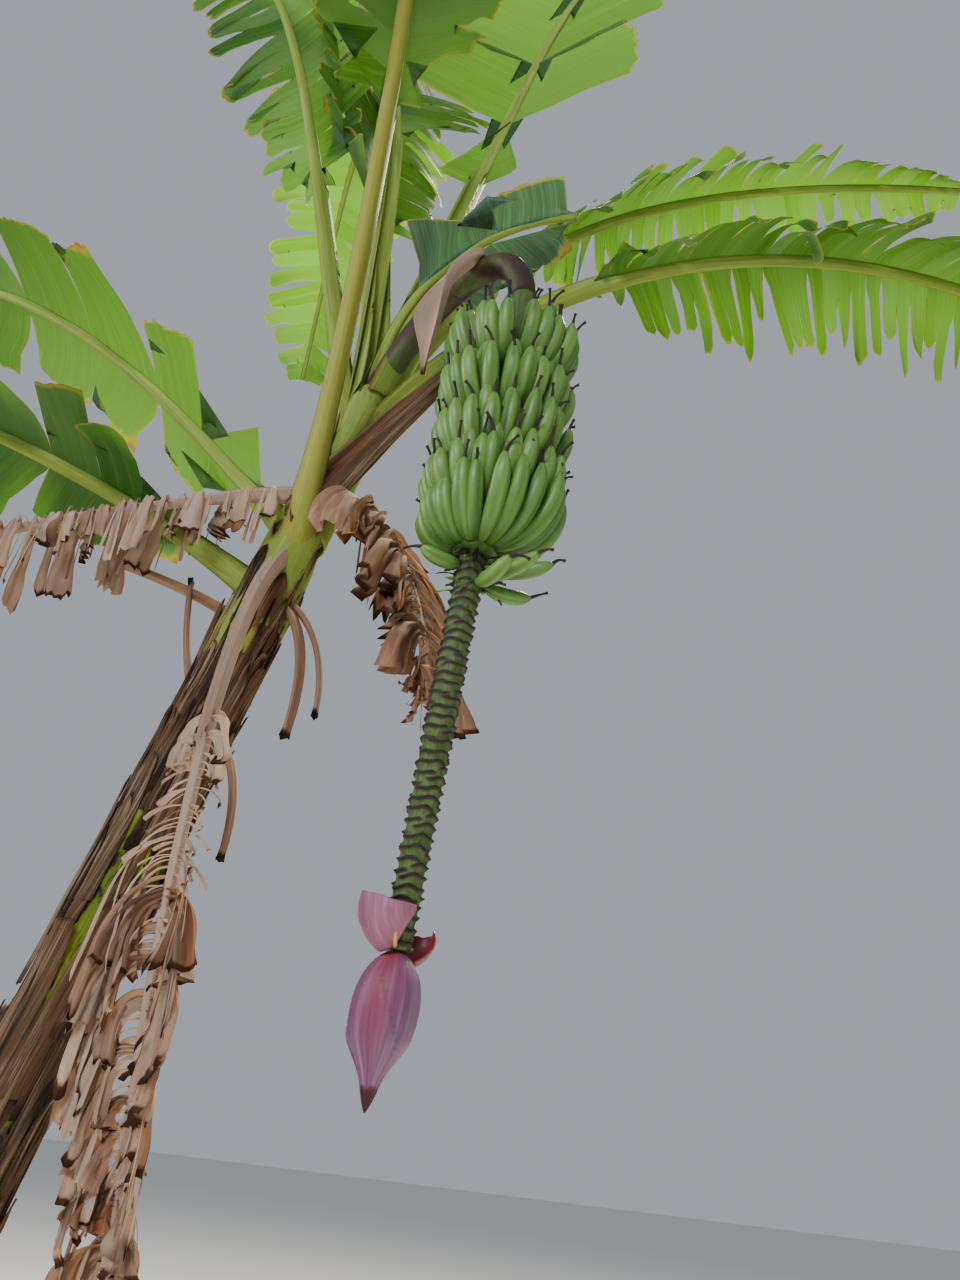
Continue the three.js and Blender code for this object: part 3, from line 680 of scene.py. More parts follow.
def blade_point(leaf, line, root, tip, droop, reach, half, out):
    """A place on the blade, the way that its upper face looks, and how far the blade reaches there."""
    t = clamp(lerp(root, tip, out ** 2))
    along, side, above, climb = line.frame(t)
    share = (t - leaf["stalk"]) / (1 - leaf["stalk"])
    opening = clamp(share / OPENS_OVER)
    blade = leaf["wide"] * reach * blade_outline(share, leaf.get("taper", FULL_TAPER)) * opening
    far = max(blade, WING_SHARE * leaf["base"]) * MM
    lean = radians(VEIN_LEAN) * opening
    sign = 1 if half else -1
    outward = side * (sign * cos(lean)) + along * sin(lean)
    under = (DOWN * (0.35 * opening) - above).normalized()
    lift = radians(lerp(WING_LIFT, BLADE_LIFT, opening))
    bend = radians(droop) * lerp(0.4, 1, abs(cos(climb))) * opening
    place = line.place(t) + side * (sign * (rib_half(leaf, t) + RIB_EDGE) * MM)
    for i in range(BLADE_STEPS):
        turn = bend * (out * (i + 0.5) / BLADE_STEPS) ** 0.8 - lift
        place += (outward * cos(turn) + under * sin(turn)) * (far * out / BLADE_STEPS)
    facing = (above * cos(turn) + outward * sin(turn)).normalized()
    return place, facing, far


# %% One strip
def strip(shape, leaf, line, edges, cuts, droop, reach, half, looks, margin, draw):
    """A strip follows the blade as far as it is whole, and from there it hangs by its own weight."""
    held = max(cuts)
    tint, number = draw(), 10 * draw()
    length = lerp(looks["short"], 1.0, draw() ** 0.6)
    sag, gap = looks["sag"] * (0.3 + 1.4 * draw()), looks["gap"] * draw()
    spin, curl = looks["twist"] * (2 * draw() - 1), looks["curl"] * (2 * draw() - 0.7)
    brown = margin * (0.25 + 2.5 * max(0, draw() - 0.6))
    columns = max(8, round(reach * leaf["wide"] / CELL_LONG))
    rows = max(3, round(looks["fine"] / CELL_WIDE))
    frames = []
    for k in range(columns + 1):
        out = length * k / columns
        free = clamp((out - held) / (1.001 - held))
        if out <= held or k < 2:
            (first, one, far), (last, other, _) = [
                blade_point(leaf, line, root, tip, droop, reach, half, out) for root, tip in edges]
            middle, across = (first + last) / 2, last - first
            facing = (one + other).normalized()
            way = (middle - frames[-1][0]).normalized() if frames else facing
        else:
            step = far * length / columns
            way = (way + DOWN * (sag * step)).normalized()
            middle = middle + way * step
            width = across.length
            across = across - way * across.dot(way)
            across.rotate(Quaternion(way, radians(spin) / columns))
            across *= width / across.length
            turned = across.cross(way).normalized()
            facing = turned if turned.dot(facing) > 0 else -turned
        frames.append((middle, across, facing, way, free, out))

    def place(x, y):
        middle, across, facing, way, free, out = frames[round(x * columns)]
        y = y if half else 1 - y
        torn_edge = max(ease((0.1 - y) / 0.1) * (out > cuts[0]), ease((y - 0.9) / 0.1) * (out > cuts[1]))
        grain = (edges[0][0] * line.length + y * across.length, number, out * far)
        low_gap = gap * ease((out - cuts[0]) / 0.2) / 2
        high_gap = gap * ease((out - cuts[1]) / 0.2) / 2
        y = lerp(low_gap, 1 - high_gap, y)
        lift = curl * free * ((2 * y - 1) ** 2 - 0.33)
        point = middle + across * (y - 0.5) + facing * (across.length * lift)
        wave = 7 * rough(number, out * 3, y) + 1.6 * sin(y * 9 + number)
        ragged = 0.10 * abs(2 * y - 1) ** 3 + 0.07 * abs(rough(y * 4, number, 1))
        ragged += 0.03 * rough(y * 17, number, 2)
        point += facing * (wave * MM * out) - way * (ragged * far * x ** 3)
        tip_edge = clamp((x - 1 + brown * 1.6) / (brown * 1.6))
        return point, grain, tint, clamp(max(MARGIN_WORN * tip_edge, TEAR_WORN * torn_edge))

    shape.sheet(columns, rows, place)


# %% Blades
def blade(shape, leaf, line, looks, margin):
    draw = seeded(leaf["seed"] + 500)
    for low, high, droop, reach in strips_of(leaf):
        open_by = TEAR_OPEN * (high - low)
        count = max(1, round((high - low) * leaf["length"] / looks["fine"]))
        for half in (0, 1):
            near = looks["near"]
            cuts = [0.12] + [near + (0.95 - near) * draw() ** 1.6 for _ in range(count - 1)] + [0.12]
            for i in range(count):
                edges = [(lerp(low, high, v), lerp(low + open_by, high - open_by, v))
                         for v in (i / count, (i + 1) / count)]
                strip(shape, leaf, line, edges, cuts[i:i + 2], droop[half], reach[half], half, looks,
                      margin, draw)


# %% Ribs and stalks
RIB_SIDES, RIB_RINGS, FLARE_LONG = 18, 70, 330


def rib(shape, leaf, line, tint, flare, slim=1.0):
    stalk = leaf["stalk"]
    seed = rough(leaf["seed"], 1, 1)

    def place(turn, step):
        t = step ** 1.2
        _, side, above, _ = line.frame(t)
        half = slim * (rib_half(leaf, t) + RIB_EDGE)
        half *= 1 + flare * (1 - clamp(t * leaf["length"] / FLARE_LONG)) ** 1.5
        opening = ease((t - stalk) / (1 - stalk) / OPENS_OVER)
        across, rise = ring(tau * turn, 1)
        wing = lerp(0.95 * leaf["base"], 3, opening)
        if rise >= 0:
            height = lerp(wing, lerp(-0.25 * half, 2, opening), ease(rise * 1.15))
        else:
            height = wing - (wing + 1.75 * min(half, 40)) * (-rise) ** 0.75
        spread = lerp(1.12, 1.0, opening) if rise > -0.05 else 1.0
        ridge = 0.5 * rough(turn * 22, seed, t * 3)
        point = line.place(t) + side * ((across * half * spread + ridge * across) * MM)
        point += above * ((height + ridge) * MM)
        grain = (across * half * MM, rise * half * MM, t * line.length)
        edge = ease((0.35 - abs(rise)) / 0.35) * (rise > -0.1)
        return point, grain, tint + 0.25 * rough(t * 4, turn * 3, seed), 0.2 * edge * (1 - opening)

    shape.limb(RIB_SIDES, RIB_RINGS, place, 1)


# %% Green leaves
for name, leaf in LEAVES.items():
    nodes = ["leaf_rear_rising", "leaf_rear_hanging"] if name == "rear" else [f"leaf_{name}"]
    waxy, front = name == "flag", name == "front"
    line = Line(axis(leaf["height"]), **leaf)
    shape = Shape()
    blade(shape, leaf, line, TORN[name], margin=0.03 if waxy else 0.06)
    rib(shape, leaf, line, tint=0.9 if front else 0.3, flare=0.8 if front else 0.3)
    keep(shape, f"{name}_leaf", nodes,
         [leaf_waxy if waxy else leaf_green, rib_green])

# %% [markdown]
# A dead blade has dried into shreds. A shred is folded up where it leaves the rib, hangs straight down
# and opens towards its end, which is often rolled up and dark. Each row below is a stretch of the rib:
# where it starts and ends, the space between two shreds, their narrowest and widest, how far they hang,
# how fast they turn down, how much they spin, and how pale they are.

# %% Shreds of a dead blade
SHREDS = {
    "left": [
        (0.07, 0.99, 30, 8, 84, 205, 0.34, 60, 0.45, 1.0), (0.1, 0.98, 26, 3, 9, 200, 0.3, 20, 0.3, 0.9)],
    "right": [
        (0.22, 0.99, 30, 36, 120, 270, 0.13, 90, 0.0, 0.4), (0.25, 0.97, 26, 5, 20, 230, 0.3, 50, 0, 0.5)],
    "hanging": [
        (0.38, 0.42, 26, 60, 110, 150, 0.22, 30, 0.8, 1.0), (0.42, 0.6, 15, 5, 16, 110, 0.05, 90, 0.5, 0.9),
        (0.52, 0.99, 16, 5, 46, 340, 0.32, 60, 0.3, 1.0), (0.6, 0.97, 52, 70, 130, 260, 0.2, 60, 0.1, 0.8)],
}
SHRED_STEPS, SHRED_CELL = 20, 9
ROLL_OUT, ROLL_UP = 11, 7
DEAD_TINT, DEAD_FLARE, DEAD_SLIM = 0.8, 0.5, 0.72


def shred(shape, leaf, line, t, half, width, length, turn_down, spin, tone, draw):
    along, side, above, _ = line.frame(t)
    sign = 1 if half else -1
    middle = line.place(t) + side * (sign * rib_half(leaf, t) * 0.9 * MM)
    way = (side * sign + above * 0.35 * draw() + along * 0.3 * (draw() - 0.3)).normalized()
    fallen = (DOWN + Vector((draw() - 0.55, draw() - 0.5, 0)) * 0.22).normalized()
    across = along.copy()
    turning = radians(spin * (2 * draw() - 1)) / SHRED_STEPS
    number, pleats, crush = 10 * draw(), 1 + 2.5 * draw(), 0.08 + 0.2 * draw()
    opened, rolled, slant = 0.7 + 0.6 * draw(), draw() > 0.45, 0.35 * (draw() - 0.5)
    frames = []
    for k in range(SHRED_STEPS + 1):
        frames.append((middle, across.copy(), across.cross(way).normalized()))
        middle = middle + way * (length / SHRED_STEPS)
        way = way.lerp(fallen, turn_down * (0.5 + 1.0 * k / SHRED_STEPS)).normalized()
        way.rotate(Quaternion(across, 0.12 * rough(number, k * 0.35, 2)))
        across = (across - way * across.dot(way)).normalized()
        across.rotate(Quaternion(way, turning))

    def place(x, y):
        middle, across, facing = frames[round(x * SHRED_STEPS)]
        v = 2 * y - 1
        wide = width * MM * (0.3 + 0.7 * ease(x * opened)) * (1 + 0.12 * rough(x * 5, number, 3))
        pleat = crush * sin(pi * pleats * v + number + 1.5 * rough(x * 3, number, 1))
        pleat += 0.1 * rough(x * 4, y * 3, number) + 0.035 * sin(v * 17 + number)
        point = middle + across * (v * wide / 2 * (1 - 0.8 * crush)) + facing * (pleat * wide)
        end = ease((x - 0.86) / 0.14)
        if rolled:
            point += facing * (end * ROLL_OUT * MM) - DOWN * (end * ROLL_UP * MM)
        jag = 0.09 * rough(y * 5, number, 1) + 0.05 * rough(y * 19, number, 2)
        jag += slant * v * width * MM / length
        point += DOWN * (jag * length * x ** 2)
        grain = (number + y * width * MM, number, x * length)
        worn = 0.8 * end * rolled + 0.3 * ease((abs(v) - 0.8) / 0.2) + 0.3 * ease((0.1 - x) / 0.1)
        # Painted light and shade: a shred is painted paler on the crests of its pleats and darker in the
        # folds between them.
        return point, grain, clamp(tone + 0.25 * pleat), clamp(worn + 0.25 * rough(x * 3, y * 2, number))

    shape.sheet(SHRED_STEPS, max(3, round(width / SHRED_CELL)), place)


# %% Dead leaves
for name, leaf in DEAD_LEAVES.items():
    line = Line(axis(leaf["height"]), **leaf)
    shape = Shape()
    draw = seeded(leaf["seed"] + 500)
    for start, end, space, narrow, broad, hang, turn_down, spin, dark, pale in SHREDS[name]:
        t = start
        while t < end:
            for half in (0, 1):
                width = lerp(narrow, broad, draw() ** 1.8)
                room = (1 - t) * line.length + 0.12
                length = min(room, hang * MM * (0.45 + 0.65 * draw()) * max(0.6, blade_outline(t)))
                tone = lerp(dark, pale, draw())
                shred(shape, leaf, line, t, half, width, length, turn_down, spin, tone, draw)
            t += space * (0.5 + draw()) / leaf["length"]
    rib(shape, leaf, line, DEAD_TINT, DEAD_FLARE, DEAD_SLIM)
    keep(shape, f"dead_{name}_leaf", [f"dead_leaf_{name}"], [dry_blade, dry_blade])

# %% [markdown]
# Where a stalk leaves the trunk it doesn't just stick out: it widens into a sheath that wraps the whole
# trunk and runs down it. A sheet narrows from that wrap to the stalk's own width.

# %% Stalk bases
NARROW_WRAP, FULL_WRAP, BASE_LIFT = radians(34), radians(118), 7
STALK_BASES = {
    "middle": 420, "right_high": 420, "left_high": 380, "right_back": 360, "rear": 380, "right_low": 380,
    "front": 300, "left_mid": 240, "left_low": 200,
}


def leaves_trunk(line):
    """The height in mm where the line of a stalk comes out of the trunk."""
    t = 0.0
    while t < 0.3:
        spot = line.place(t)
        height = spot.z / MM
        if (spot - axis(height)).length > trunk_radius(0, height) * MM * 0.95:
            break
        t += 0.005
    return line.place(t).z / MM


def stalk_base(shape, leaf, tall, seed):
    tint = seeded(seed)()
    top = leaves_trunk(Line(axis(leaf["height"]), **leaf))

    def place(x, y):
        down = 1 - y
        height = top - tall * down
        wrap = lerp(NARROW_WRAP, FULL_WRAP, ease(down * 1.25))
        angle = radians(leaf["heading"]) + (2 * x - 1) * wrap
        lift = BASE_LIFT + 2 * rough(x * 3, down * 4, seed) + 5 * (1 - abs(2 * x - 1)) * (1 - down)
        grain = ((2 * x - 1) * wrap * 0.06, seed, height * MM)
        edge = ease((abs(2 * x - 1) - 0.86) / 0.14)
        return round_trunk(angle, height, lift), grain, tint, 0.5 * edge + 0.25 * down

    shape.sheet(20, 24, place)


bases = Shape()
for i, (name, tall) in enumerate(STALK_BASES.items()):
    stalk_base(bases, LEAVES[name], tall, 300 + i)
keep(bases, "stalk_bases", [], [rib_green], thick=4.0)

# %% [markdown]
# ## The stalk of the bunch
# It grows up through the middle of the trunk, bends over at the crown and hangs straight down. Below the
# fruit, every bract that has dropped off left a dark wavy scar round one side of it.

# %% The stalk's line
BUNCH_TOP = Vector((1066, -300, 3200)) * MM
BUD_TOP = Vector((990, -300, 1744)) * MM
BEND = [axis(TRUNK_HEIGHT - 90), Vector((790, -20, 3420)) * MM, Vector((1040, -300, 3470)) * MM, BUNCH_TOP]
BEND_SIDE = Vector((300, 262, 0)).normalized()
CROWN_RADIUS, BUNCH_RADIUS, TAIL_RADIUS = 34, 30, 25


def bend_place(t):
    s = 1 - t
    a, b, c, d = BEND
    return a * s ** 3 + b * (3 * s * s * t) + c * (3 * s * t * t) + d * t ** 3


def hanging_place(t):
    return BUNCH_TOP.lerp(BUD_TOP, t)


# %% Bent stalk
def on_bend(turn, step):
    along = (bend_place(min(1, step + 0.01)) - bend_place(max(0, step - 0.01))).normalized()
    above = along.cross(BEND_SIDE).normalized()
    side = above.cross(along)
    angle = tau * turn
    radius = lerp(CROWN_RADIUS, BUNCH_RADIUS, step) + 1.2 * rough(turn * 12, step * 3, 4)
    point = bend_place(step) + (side * cos(angle) + above * sin(angle)) * (radius * MM)
    # The worn mark of the bend is partly brown stains and partly painted shade: the whole bend is darkened,
    # more towards the bunch, for the shade of the leaves above it.
    brown = 0.3 + 0.45 * rough(turn * 5, step * 4, 8) + 0.3 * step
    return point, (*ring(angle, BUNCH_RADIUS * MM), step * 0.7), 0.3, clamp(brown)


bend = Shape()
bend.limb(20, 40, on_bend)
keep(bend, "bunch_stalk_bend", ["bunch_stalk_bend"], [stalk_scars_and_painted_shade])

# %% Hanging stalk with its scars
SCAR_FROM, SCAR_PITCH, SCAR_PROUD = 0.465, 19.0, 7.5
SCAR_TURN, SCAR_HALF, SCAR_ENDS = 158, 112, 40
SHELF_ABOVE, SHELF_BELOW = 1.8, 5.0


def scar_at(angle, down):
    """How far a scar stands out here, from 0 to 1. Each one goes round a bit more than half the stalk."""
    best = 0.0
    first = int(down / SCAR_PITCH * 2) - 2
    for number in range(first, first + 6):
        off = (degrees(angle) - number * SCAR_TURN + 180) % 360 - 180
        level = number * SCAR_PITCH / 2 + 3.5 * rough(number * 1.7, 3, 1)
        level += 5 * (off / SCAR_HALF) ** 2 + 2.2 * sin(radians(off) * 4 + number * 2.1)
        ends = ease((SCAR_HALF - abs(off)) / SCAR_ENDS)
        under = down - level
        shelf = exp(-((under / (SHELF_BELOW if under > 0 else SHELF_ABOVE)) ** 2))
        best = max(best, shelf * ends)
    return best


def on_tail(turn, step):
    angle = tau * turn
    down = step * (BUNCH_TOP - BUD_TOP).length / MM
    below = clamp((step - SCAR_FROM) / 0.015)
    scar = scar_at(angle, down) * below
    plain = lerp(BUNCH_RADIUS, TAIL_RADIUS, step)
    knob = 1.5 * rough(*ring(angle, 2), down / 30)
    radius = plain - 2.5 + SCAR_PROUD * scar * (0.8 + 0.4 * rough(angle * 2, down / 15, 6)) + knob * below
    point = hanging_place(step) + outwards(angle, radius)
    return point, (*ring(angle, BUNCH_RADIUS * MM), down * MM), 0.3, clamp(scar * 1.25)


tail = Shape()
tail.limb(40, 700, on_tail)
keep(tail, "bunch_stalk", ["bunch_stalk"], [stalk_scars_and_painted_shade])

# %% [markdown]
# ## The bunch
# The fruit sits in hands, one under the other, each a double row of fingers on a cushion. A finger grows
# out and then turns up towards the light, with five soft ridges along it and the dry black flower at its
# tip. Every hand's fingers cover the cushion of the hand above.

# %% One finger
PLUMP = [0.5, 0.58, 0.8, 0.94, 1.0, 1.02, 1.02, 1.0, 0.97, 0.88, 0.66, 0.3]
ANGLES, RIDGE = 5, 0.05
FINGER_SIDES, FINGER_RINGS = 15, 15
TWIG_LENGTH, TWIG_THICK, TWIG_TIP, TWIG_KNOB = (24, 24), 4.4, 1.6, 2.4


def finger(shape, start, heading, rise, fall, late, length, thick, draw):
    line = Line(start, heading=heading, rise=rise, fall=fall, late=late, length=length)
    tint, seed = draw(), 9 * draw()

    def place(turn, step):
        step = 1 - (1 - step) ** 1.25
        at = step * (len(PLUMP) - 1)
        before = min(int(at), len(PLUMP) - 2)
        radius = thick * lerp(PLUMP[before], PLUMP[before + 1], at - before)
        angle = tau * turn
        ridge = cos(ANGLES * angle + seed)
        point = line.around(turn, step, radius * (1 + RIDGE * ridge))
        # Painted light: each finger is painted lighter along its five ridges and towards its tip, and darker
        # at its base where shade falls; 0.35 * tint is the finger's own tone.
        light = clamp(0.05 + 0.35 * tint + 0.3 * ridge + 0.45 * step)
        grain = (cos(angle) * 0.02, sin(angle) * 0.02 + seed, step * 0.15)
        return point, grain, light, 0.5 * ease((step - 0.94) / 0.06)

    shape.limb(FINGER_SIDES, FINGER_RINGS, place)
    twig = Line(line.place(0.985), heading=heading + 50 * sin(seed * 3), rise=line.fall,
                fall=line.fall - 70 * abs(sin(seed * 5)), late=0.8,
                length=TWIG_LENGTH[0] + TWIG_LENGTH[1] * draw())

    def withered(turn, step):
        radius = lerp(TWIG_THICK, TWIG_TIP, step) + TWIG_KNOB * ease((step - 0.75) / 0.25)
        return twig.around(turn, step, radius), (turn * 0.01, seed, step * 0.02), 0.5, 0.0

    shape.limb(5, 6, withered, 1)


# %% Hands of fruit
HAND_COUNT, HAND_TOP, HAND_FOOT, HAND_CLOSER = 5, 2955, 2530, 1.35
FINGER_LENGTH, FINGER_THICK = 178, 18.8
CUSHION, CUSHION_LOW, CUSHION_HIGH = 56, -36, 22
# For the outer and the inner row: how many fingers, how high they start, the angle at which they set off,
# how late they turn up, and how long they are.
ROWS = [(22, -20, -34, 0.45, 1.0), (14, 12, -8, 0.42, 0.9)]
FINGER_OUT, FINGER_FALL = 42, 86
SWAY_TOP, SWAY_LAST = 0.02, 0.28


def hand_middle(hand):
    down = 1 - (1 - hand / (HAND_COUNT - 1)) ** HAND_CLOSER
    height = lerp(HAND_TOP, HAND_FOOT, down) * MM
    return hanging_place((BUNCH_TOP.z - height) / (BUNCH_TOP.z - BUD_TOP.z))


def beside(middle, heading, out, up_by):
    off = Vector((out, 0, up_by)) * MM
    off.rotate(Quaternion(UP, radians(heading)))
    return middle + off


for hand in range(HAND_COUNT):
    middle = hand_middle(hand)
    draw = seeded(60 + hand)
    sway = lerp(SWAY_TOP, SWAY_LAST, hand / (HAND_COUNT - 1))
    fruit = Shape()

    def on_cushion(turn, step):
        angle = tau * turn
        radius = CUSHION * (0.5 + 0.5 * sin(pi * step) ** 0.6)
        point = middle + outwards(angle, radius)
        point.z += lerp(CUSHION_LOW, CUSHION_HIGH, step) * MM
        return point, (*ring(angle, 0.05), step * 0.06), 0.1, 0.2

    fruit.limb(20, 8, on_cushion)
    for count, high, rise, late, long in ROWS:
        for i in range(count):
            heading = 360 * (i + 0.5 * (hand % 2) + 0.5 * draw()) / count
            size = (1 + sway * cos(radians(heading))) * (0.93 + 0.12 * draw())
            finger(fruit, beside(middle, heading, FINGER_OUT, high), heading + 8 * (draw() - 0.5),
                   rise + 6 * draw(), FINGER_FALL + 9 * draw(), late, size * FINGER_LENGTH * long,
                   FINGER_THICK * (0.92 + 0.12 * draw()), draw)
    keep(fruit, f"fruit_hand_{hand + 1}", [f"fruit_hand_{hand + 1}"], [fruit_green, dry_flower])

# %% Under the last hand
LOOSE_FINGERS = [(345, 62, 0.78), (318, 84, 0.8), (300, 104, 0.66), (205, 60, 0.5), (20, 92, 0.6)]
DRIED_REMAINS = 40
rest = Shape()
draw = seeded(72)
foot = hand_middle(HAND_COUNT - 1)
for heading, low, size in LOOSE_FINGERS:
    finger(rest, beside(foot, heading, 24, -low), heading, -22, 26, 0.9, FINGER_LENGTH * size, 15, draw)
for i in range(DRIED_REMAINS):
    heading = 360 * draw()
    line = Line(beside(foot, heading, 25, -40 - 90 * draw() ** 1.5), heading=heading, rise=20 * draw(),
                fall=-70 * draw(), late=1, length=22 + 30 * draw())
    wide = 2.5 + 3.5 * draw()

    def on_remains(turn, step):
        radius = wide * (1.2 - 0.7 * step) * (1 + 0.4 * sin(step * 9 + i))
        return line.around(turn, step, radius, flat=0.5), (turn * 0.01, i, step * 0.03), 0.5, 0.0

    rest.limb(6, 5, on_remains, 1 if i % 3 else 0)
keep(rest, "last_fingers", [], [fruit_green, dry_flower])

# %% [markdown]
# ## The bud
# The bud is an egg of tightly wrapped bracts drawn out to a point. A few wide bracts lie over it, each
# with an edge that runs down in a slow spiral, and two have lifted off to show their crimson inside.

# %% Bud
BUD_LENGTH, BUD_RADIUS, BUD_TILT = 236, 54, radians(-3)
WRAP_PROUD, RED_SIDE, RED_WIDE = 2.6, 255, 42


def on_bud(turn, step):
    share = clamp(step, 0.0008, 0.9992)
    angle = tau * turn
    radius = BUD_RADIUS * sin(pi * share ** 0.72) ** 0.75 * (1 - 0.42 * ease((share - 0.55) / 0.3))
    spiral = (turn * 3 - share * 1.1 + 0.1) % 1
    wrap = WRAP_PROUD * spiral ** 4 * sin(pi * share) ** 0.5
    fold = 1.1 * rough(*ring(angle, 6), share * 2)
    down = Vector((sin(BUD_TILT), 0, -1)) * (share * BUD_LENGTH * MM)
    point = BUD_TOP + outwards(angle, radius + wrap + fold) + down
    facing = (degrees(angle) - RED_SIDE + 180) % 360 - 180
    red = exp(-(facing / RED_WIDE) ** 2) * (1 - share) + 0.5 * ease((0.12 - share) / 0.12)
    red += 0.25 * rough(angle * 2, share * 4, 5)
    worn = clamp(0.9 * ease((share - 0.8) / 0.12) + 0.22 * ease((spiral - 0.93) / 0.07))
    return point, (*ring(angle, 0.05), share * BUD_LENGTH * MM), clamp(red), worn


bud = Shape()
bud.limb(64, 80, on_bud)
keep(bud, "flower_bud", ["flower_bud"], [bud_skin])

# %% Raised bracts
# The way it faces, its angle where it sets off and at its end, its length and half width, how high it
# starts, how far it is cupped, and how much shorter it is at its near side.
BRACTS = {
    "left": (224, 22, 98, 108, 56, -6, 88, 0.3), "rear": (58, 8, 88, 82, 40, -24, 66, 0.0),
}
BRACT_OUT, BRACT_THICK = 30, 3.0
for i, (name, (heading, rise, fall, length, wide, low, cupped, near_cut)) in enumerate(BRACTS.items()):
    turn = radians(heading)
    start = BUD_TOP + Vector((*ring(turn, BRACT_OUT), low)) * MM
    line = Line(start, heading=heading, rise=rise, fall=fall, late=0.8, length=length)
    bract = Shape()

    def on_bract(x, y):
        t = y * (1 - near_cut * x ** 2)
        along, side, above, _ = line.frame(t)
        half = wide * lerp(0.5, 1, sin(0.75 * pi * t)) * (1 - 0.12 * t ** 8)
        cup = radians(cupped)
        angle = (2 * x - 1) * cup
        point = line.place(t) + side * (half * MM * sin(angle) / sin(cup))
        rim = t ** 5 * (5 * (2 * x - 1) ** 2 + 3 * rough(x * 7, i, 4))
        deep = half * (1 - cos(angle)) + 1.5 * rough(x * 3, t * 3, i)
        point += above * (deep * MM) + along * (rim * MM)
        return point, ((x - 0.5) * half * 2 * MM, i, t * 0.12), 0.5, 0.0

    bract.sheet(22, 24, on_bract)
    piece = keep(bract, f"raised_bract_{name}", [f"raised_bract_{name}"],
                 [bract_outer, bract_inner], thick=BRACT_THICK)
    wall = piece.modifiers["thickness"]
    wall.material_offset = wall.material_offset_rim = 1

# %% Flowers under the bract
FLOWERS, FLOWERS_FACE, FLOWERS_SPREAD, FLOWERS_OUT = 11, 205, 130, 27
flowers = Shape()
draw = seeded(91)
for i in range(FLOWERS):
    heading = FLOWERS_FACE + FLOWERS_SPREAD * (draw() - 0.5)
    start = BUD_TOP + Vector((*ring(radians(heading), FLOWERS_OUT), 2 + 14 * draw())) * MM
    line = Line(start, heading=heading, rise=10 + 30 * draw(), fall=60, late=1, length=30 + 12 * draw())

    def on_flower(turn, step):
        radius = 3.6 + 1.4 * sin(pi * step) - 1.5 * step
        return line.around(turn, step, radius), (turn * 0.01, 0, step * 0.03), 0.5, 0.0

    flowers.limb(7, 6, on_flower)
keep(flowers, "bud_flowers", [], [flower_gold])

# %% [markdown]
# ## Dry pieces
# Stumps of old leaf stalks hang from the trunk, fluted and hollow. A dry sheath is folded along the
# neck, and a dry bract hangs beside the fruit.

# %% Stumps of old stalks
# The height on the trunk, the way it faces, its angle where it sets off and at its end, how late it bends,
# its length and half its thickness.
STUBS = [
    (2510, 338, 45, -99, 0.25, 390, 15), (2510, 354, 50, -92, 0.3, 350, 13),
    (2180, 185, 64, 84, 1.0, 360, 14), (2430, 178, 28, 12, 1.0, 390, 17),
    (2190, 350, 45, -96, 0.25, 320, 13), (1500, 200, 60, 30, 1.0, 300, 17),
]
STUB_FLAT, STUB_FLUTE, STUB_GROOVE = 0.62, 0.05, 0.56
for i, (height, heading, rise, fall, late, length, thick) in enumerate(STUBS):
    line = Line(axis(height), heading=heading, rise=rise, fall=fall, late=late, length=length)
    stub = Shape()
    seed = i * 3.7

    def on_stub(turn, step):
        along, side, above, _ = line.frame(step)
        angle = tau * turn
        across, up_share = ring(angle, 1)
        half = thick * lerp(1.35, 0.85, step) * (1.25 if step > 0.97 else 1)
        groove = STUB_GROOVE * max(0, up_share) ** 2
        flute = STUB_FLUTE * cos(9 * angle + seed)
        point = line.place(step) + side * (across * half * (1 + flute) * MM)
        point += above * (up_share * half * STUB_FLAT * (1 + flute - groove) * MM)
        point += along * (10 * rough(turn * 7, seed, 1) * ease((step - 0.9) / 0.1) * MM)
        grain = (across * 0.02, up_share * 0.02 + seed, step * length * MM)
        return point, grain, 0.25 + 0.3 * rough(seed, 1, 1), clamp(1.2 * ease((step - 0.94) / 0.06))

    stub.limb(28, 24, on_stub)
    keep(stub, f"stalk_stub_{i + 1}", [f"stalk_stub_{i + 1}"], [dry_blade])

# %% Sheath folded along the neck
NECK_WRAP, NECK_LOW, NECK_HIGH, NECK_DEEP = radians(215), 50, 13, 15
line = Line(axis(2680) + Vector((12, -80, 0)) * MM, heading=352, rise=62, fall=48, late=1, length=640)


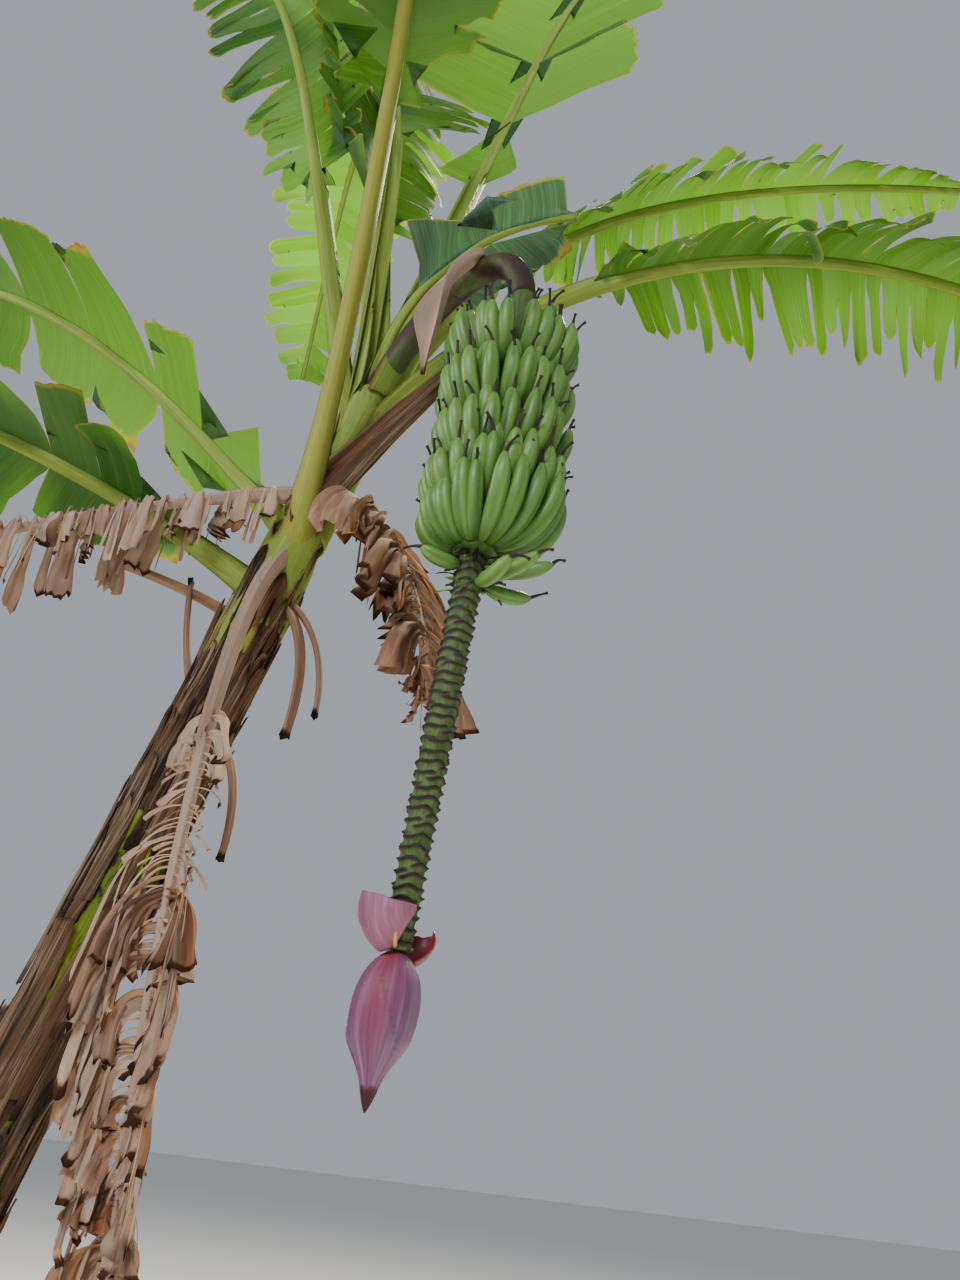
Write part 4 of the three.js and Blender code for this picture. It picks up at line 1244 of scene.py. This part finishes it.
def on_neck(x, y):
    _, side, above, _ = line.frame(y)
    fold = NECK_WRAP * (x - 0.5)
    half = lerp(NECK_LOW, NECK_HIGH, y ** 1.3) * (1 + 0.15 * rough(x * 5, y * 4, 2))
    point = line.place(y) + above * (half * sin(fold) * MM)
    pleat = 4.5 * sin(x * 24 + 3 * y + 2 * rough(x * 3, y * 3, 9)) * (1 - 0.5 * y)
    point -= side * ((NECK_DEEP * cos(fold) + pleat + 5 * rough(x * 7, y * 3, 5)) * MM)
    ragged = 0.05 * rough(x * 12, 3, 3) * (ease((y - 0.85) / 0.15) - ease((0.12 - y) / 0.12))
    tone = 0.5 + 0.7 * rough(x * 4, y * 1.5, 6)
    return point + UP * ragged, (x * 0.1, 4, y * 0.64), clamp(tone), clamp(0.1 + 0.4 * abs(2 * x - 1) ** 3)


neck = Shape()
neck.sheet(26, 46, on_neck)
keep(neck, "dry_neck_sheath", ["dry_neck_sheath"], [dry_fibre], thick=2.0)

# %% Dry bract beside the fruit
DRY_CUP, DRY_TURN, DRY_NARROW, DRY_WIDE = radians(80), 60, 18, 42
dry_line = Line(Vector((960, -236, 3380)) * MM, heading=195, rise=-14, fall=-92, late=0.25, length=430)


def on_dry_bract(x, y):
    _, side, above, _ = dry_line.frame(y)
    half = lerp(DRY_NARROW, DRY_WIDE, sin(pi * y ** 0.9)) * (1 - 0.75 * ease((y - 0.55) / 0.45))
    side.rotate(Quaternion(UP, radians(DRY_TURN * y)))
    above = side.cross(UP) if y > 0.25 else above
    angle = (2 * x - 1) * DRY_CUP
    crease = 6 * rough(x * 5, y * 3, 8) + 3 * sin(x * 14)
    point = dry_line.place(y) + side * (half * MM * sin(angle) / sin(DRY_CUP))
    point += above * ((half * (1 - cos(angle)) + crease) * MM)
    return point, (x * 0.09, 8, y * 0.33), 0.95, 0.5 * ease((y - 0.9) / 0.1)


dry = Shape()
dry.sheet(20, 34, on_dry_bract)
keep(dry, "dry_bract", ["dry_bract"], [dry_blade], thick=1.2)
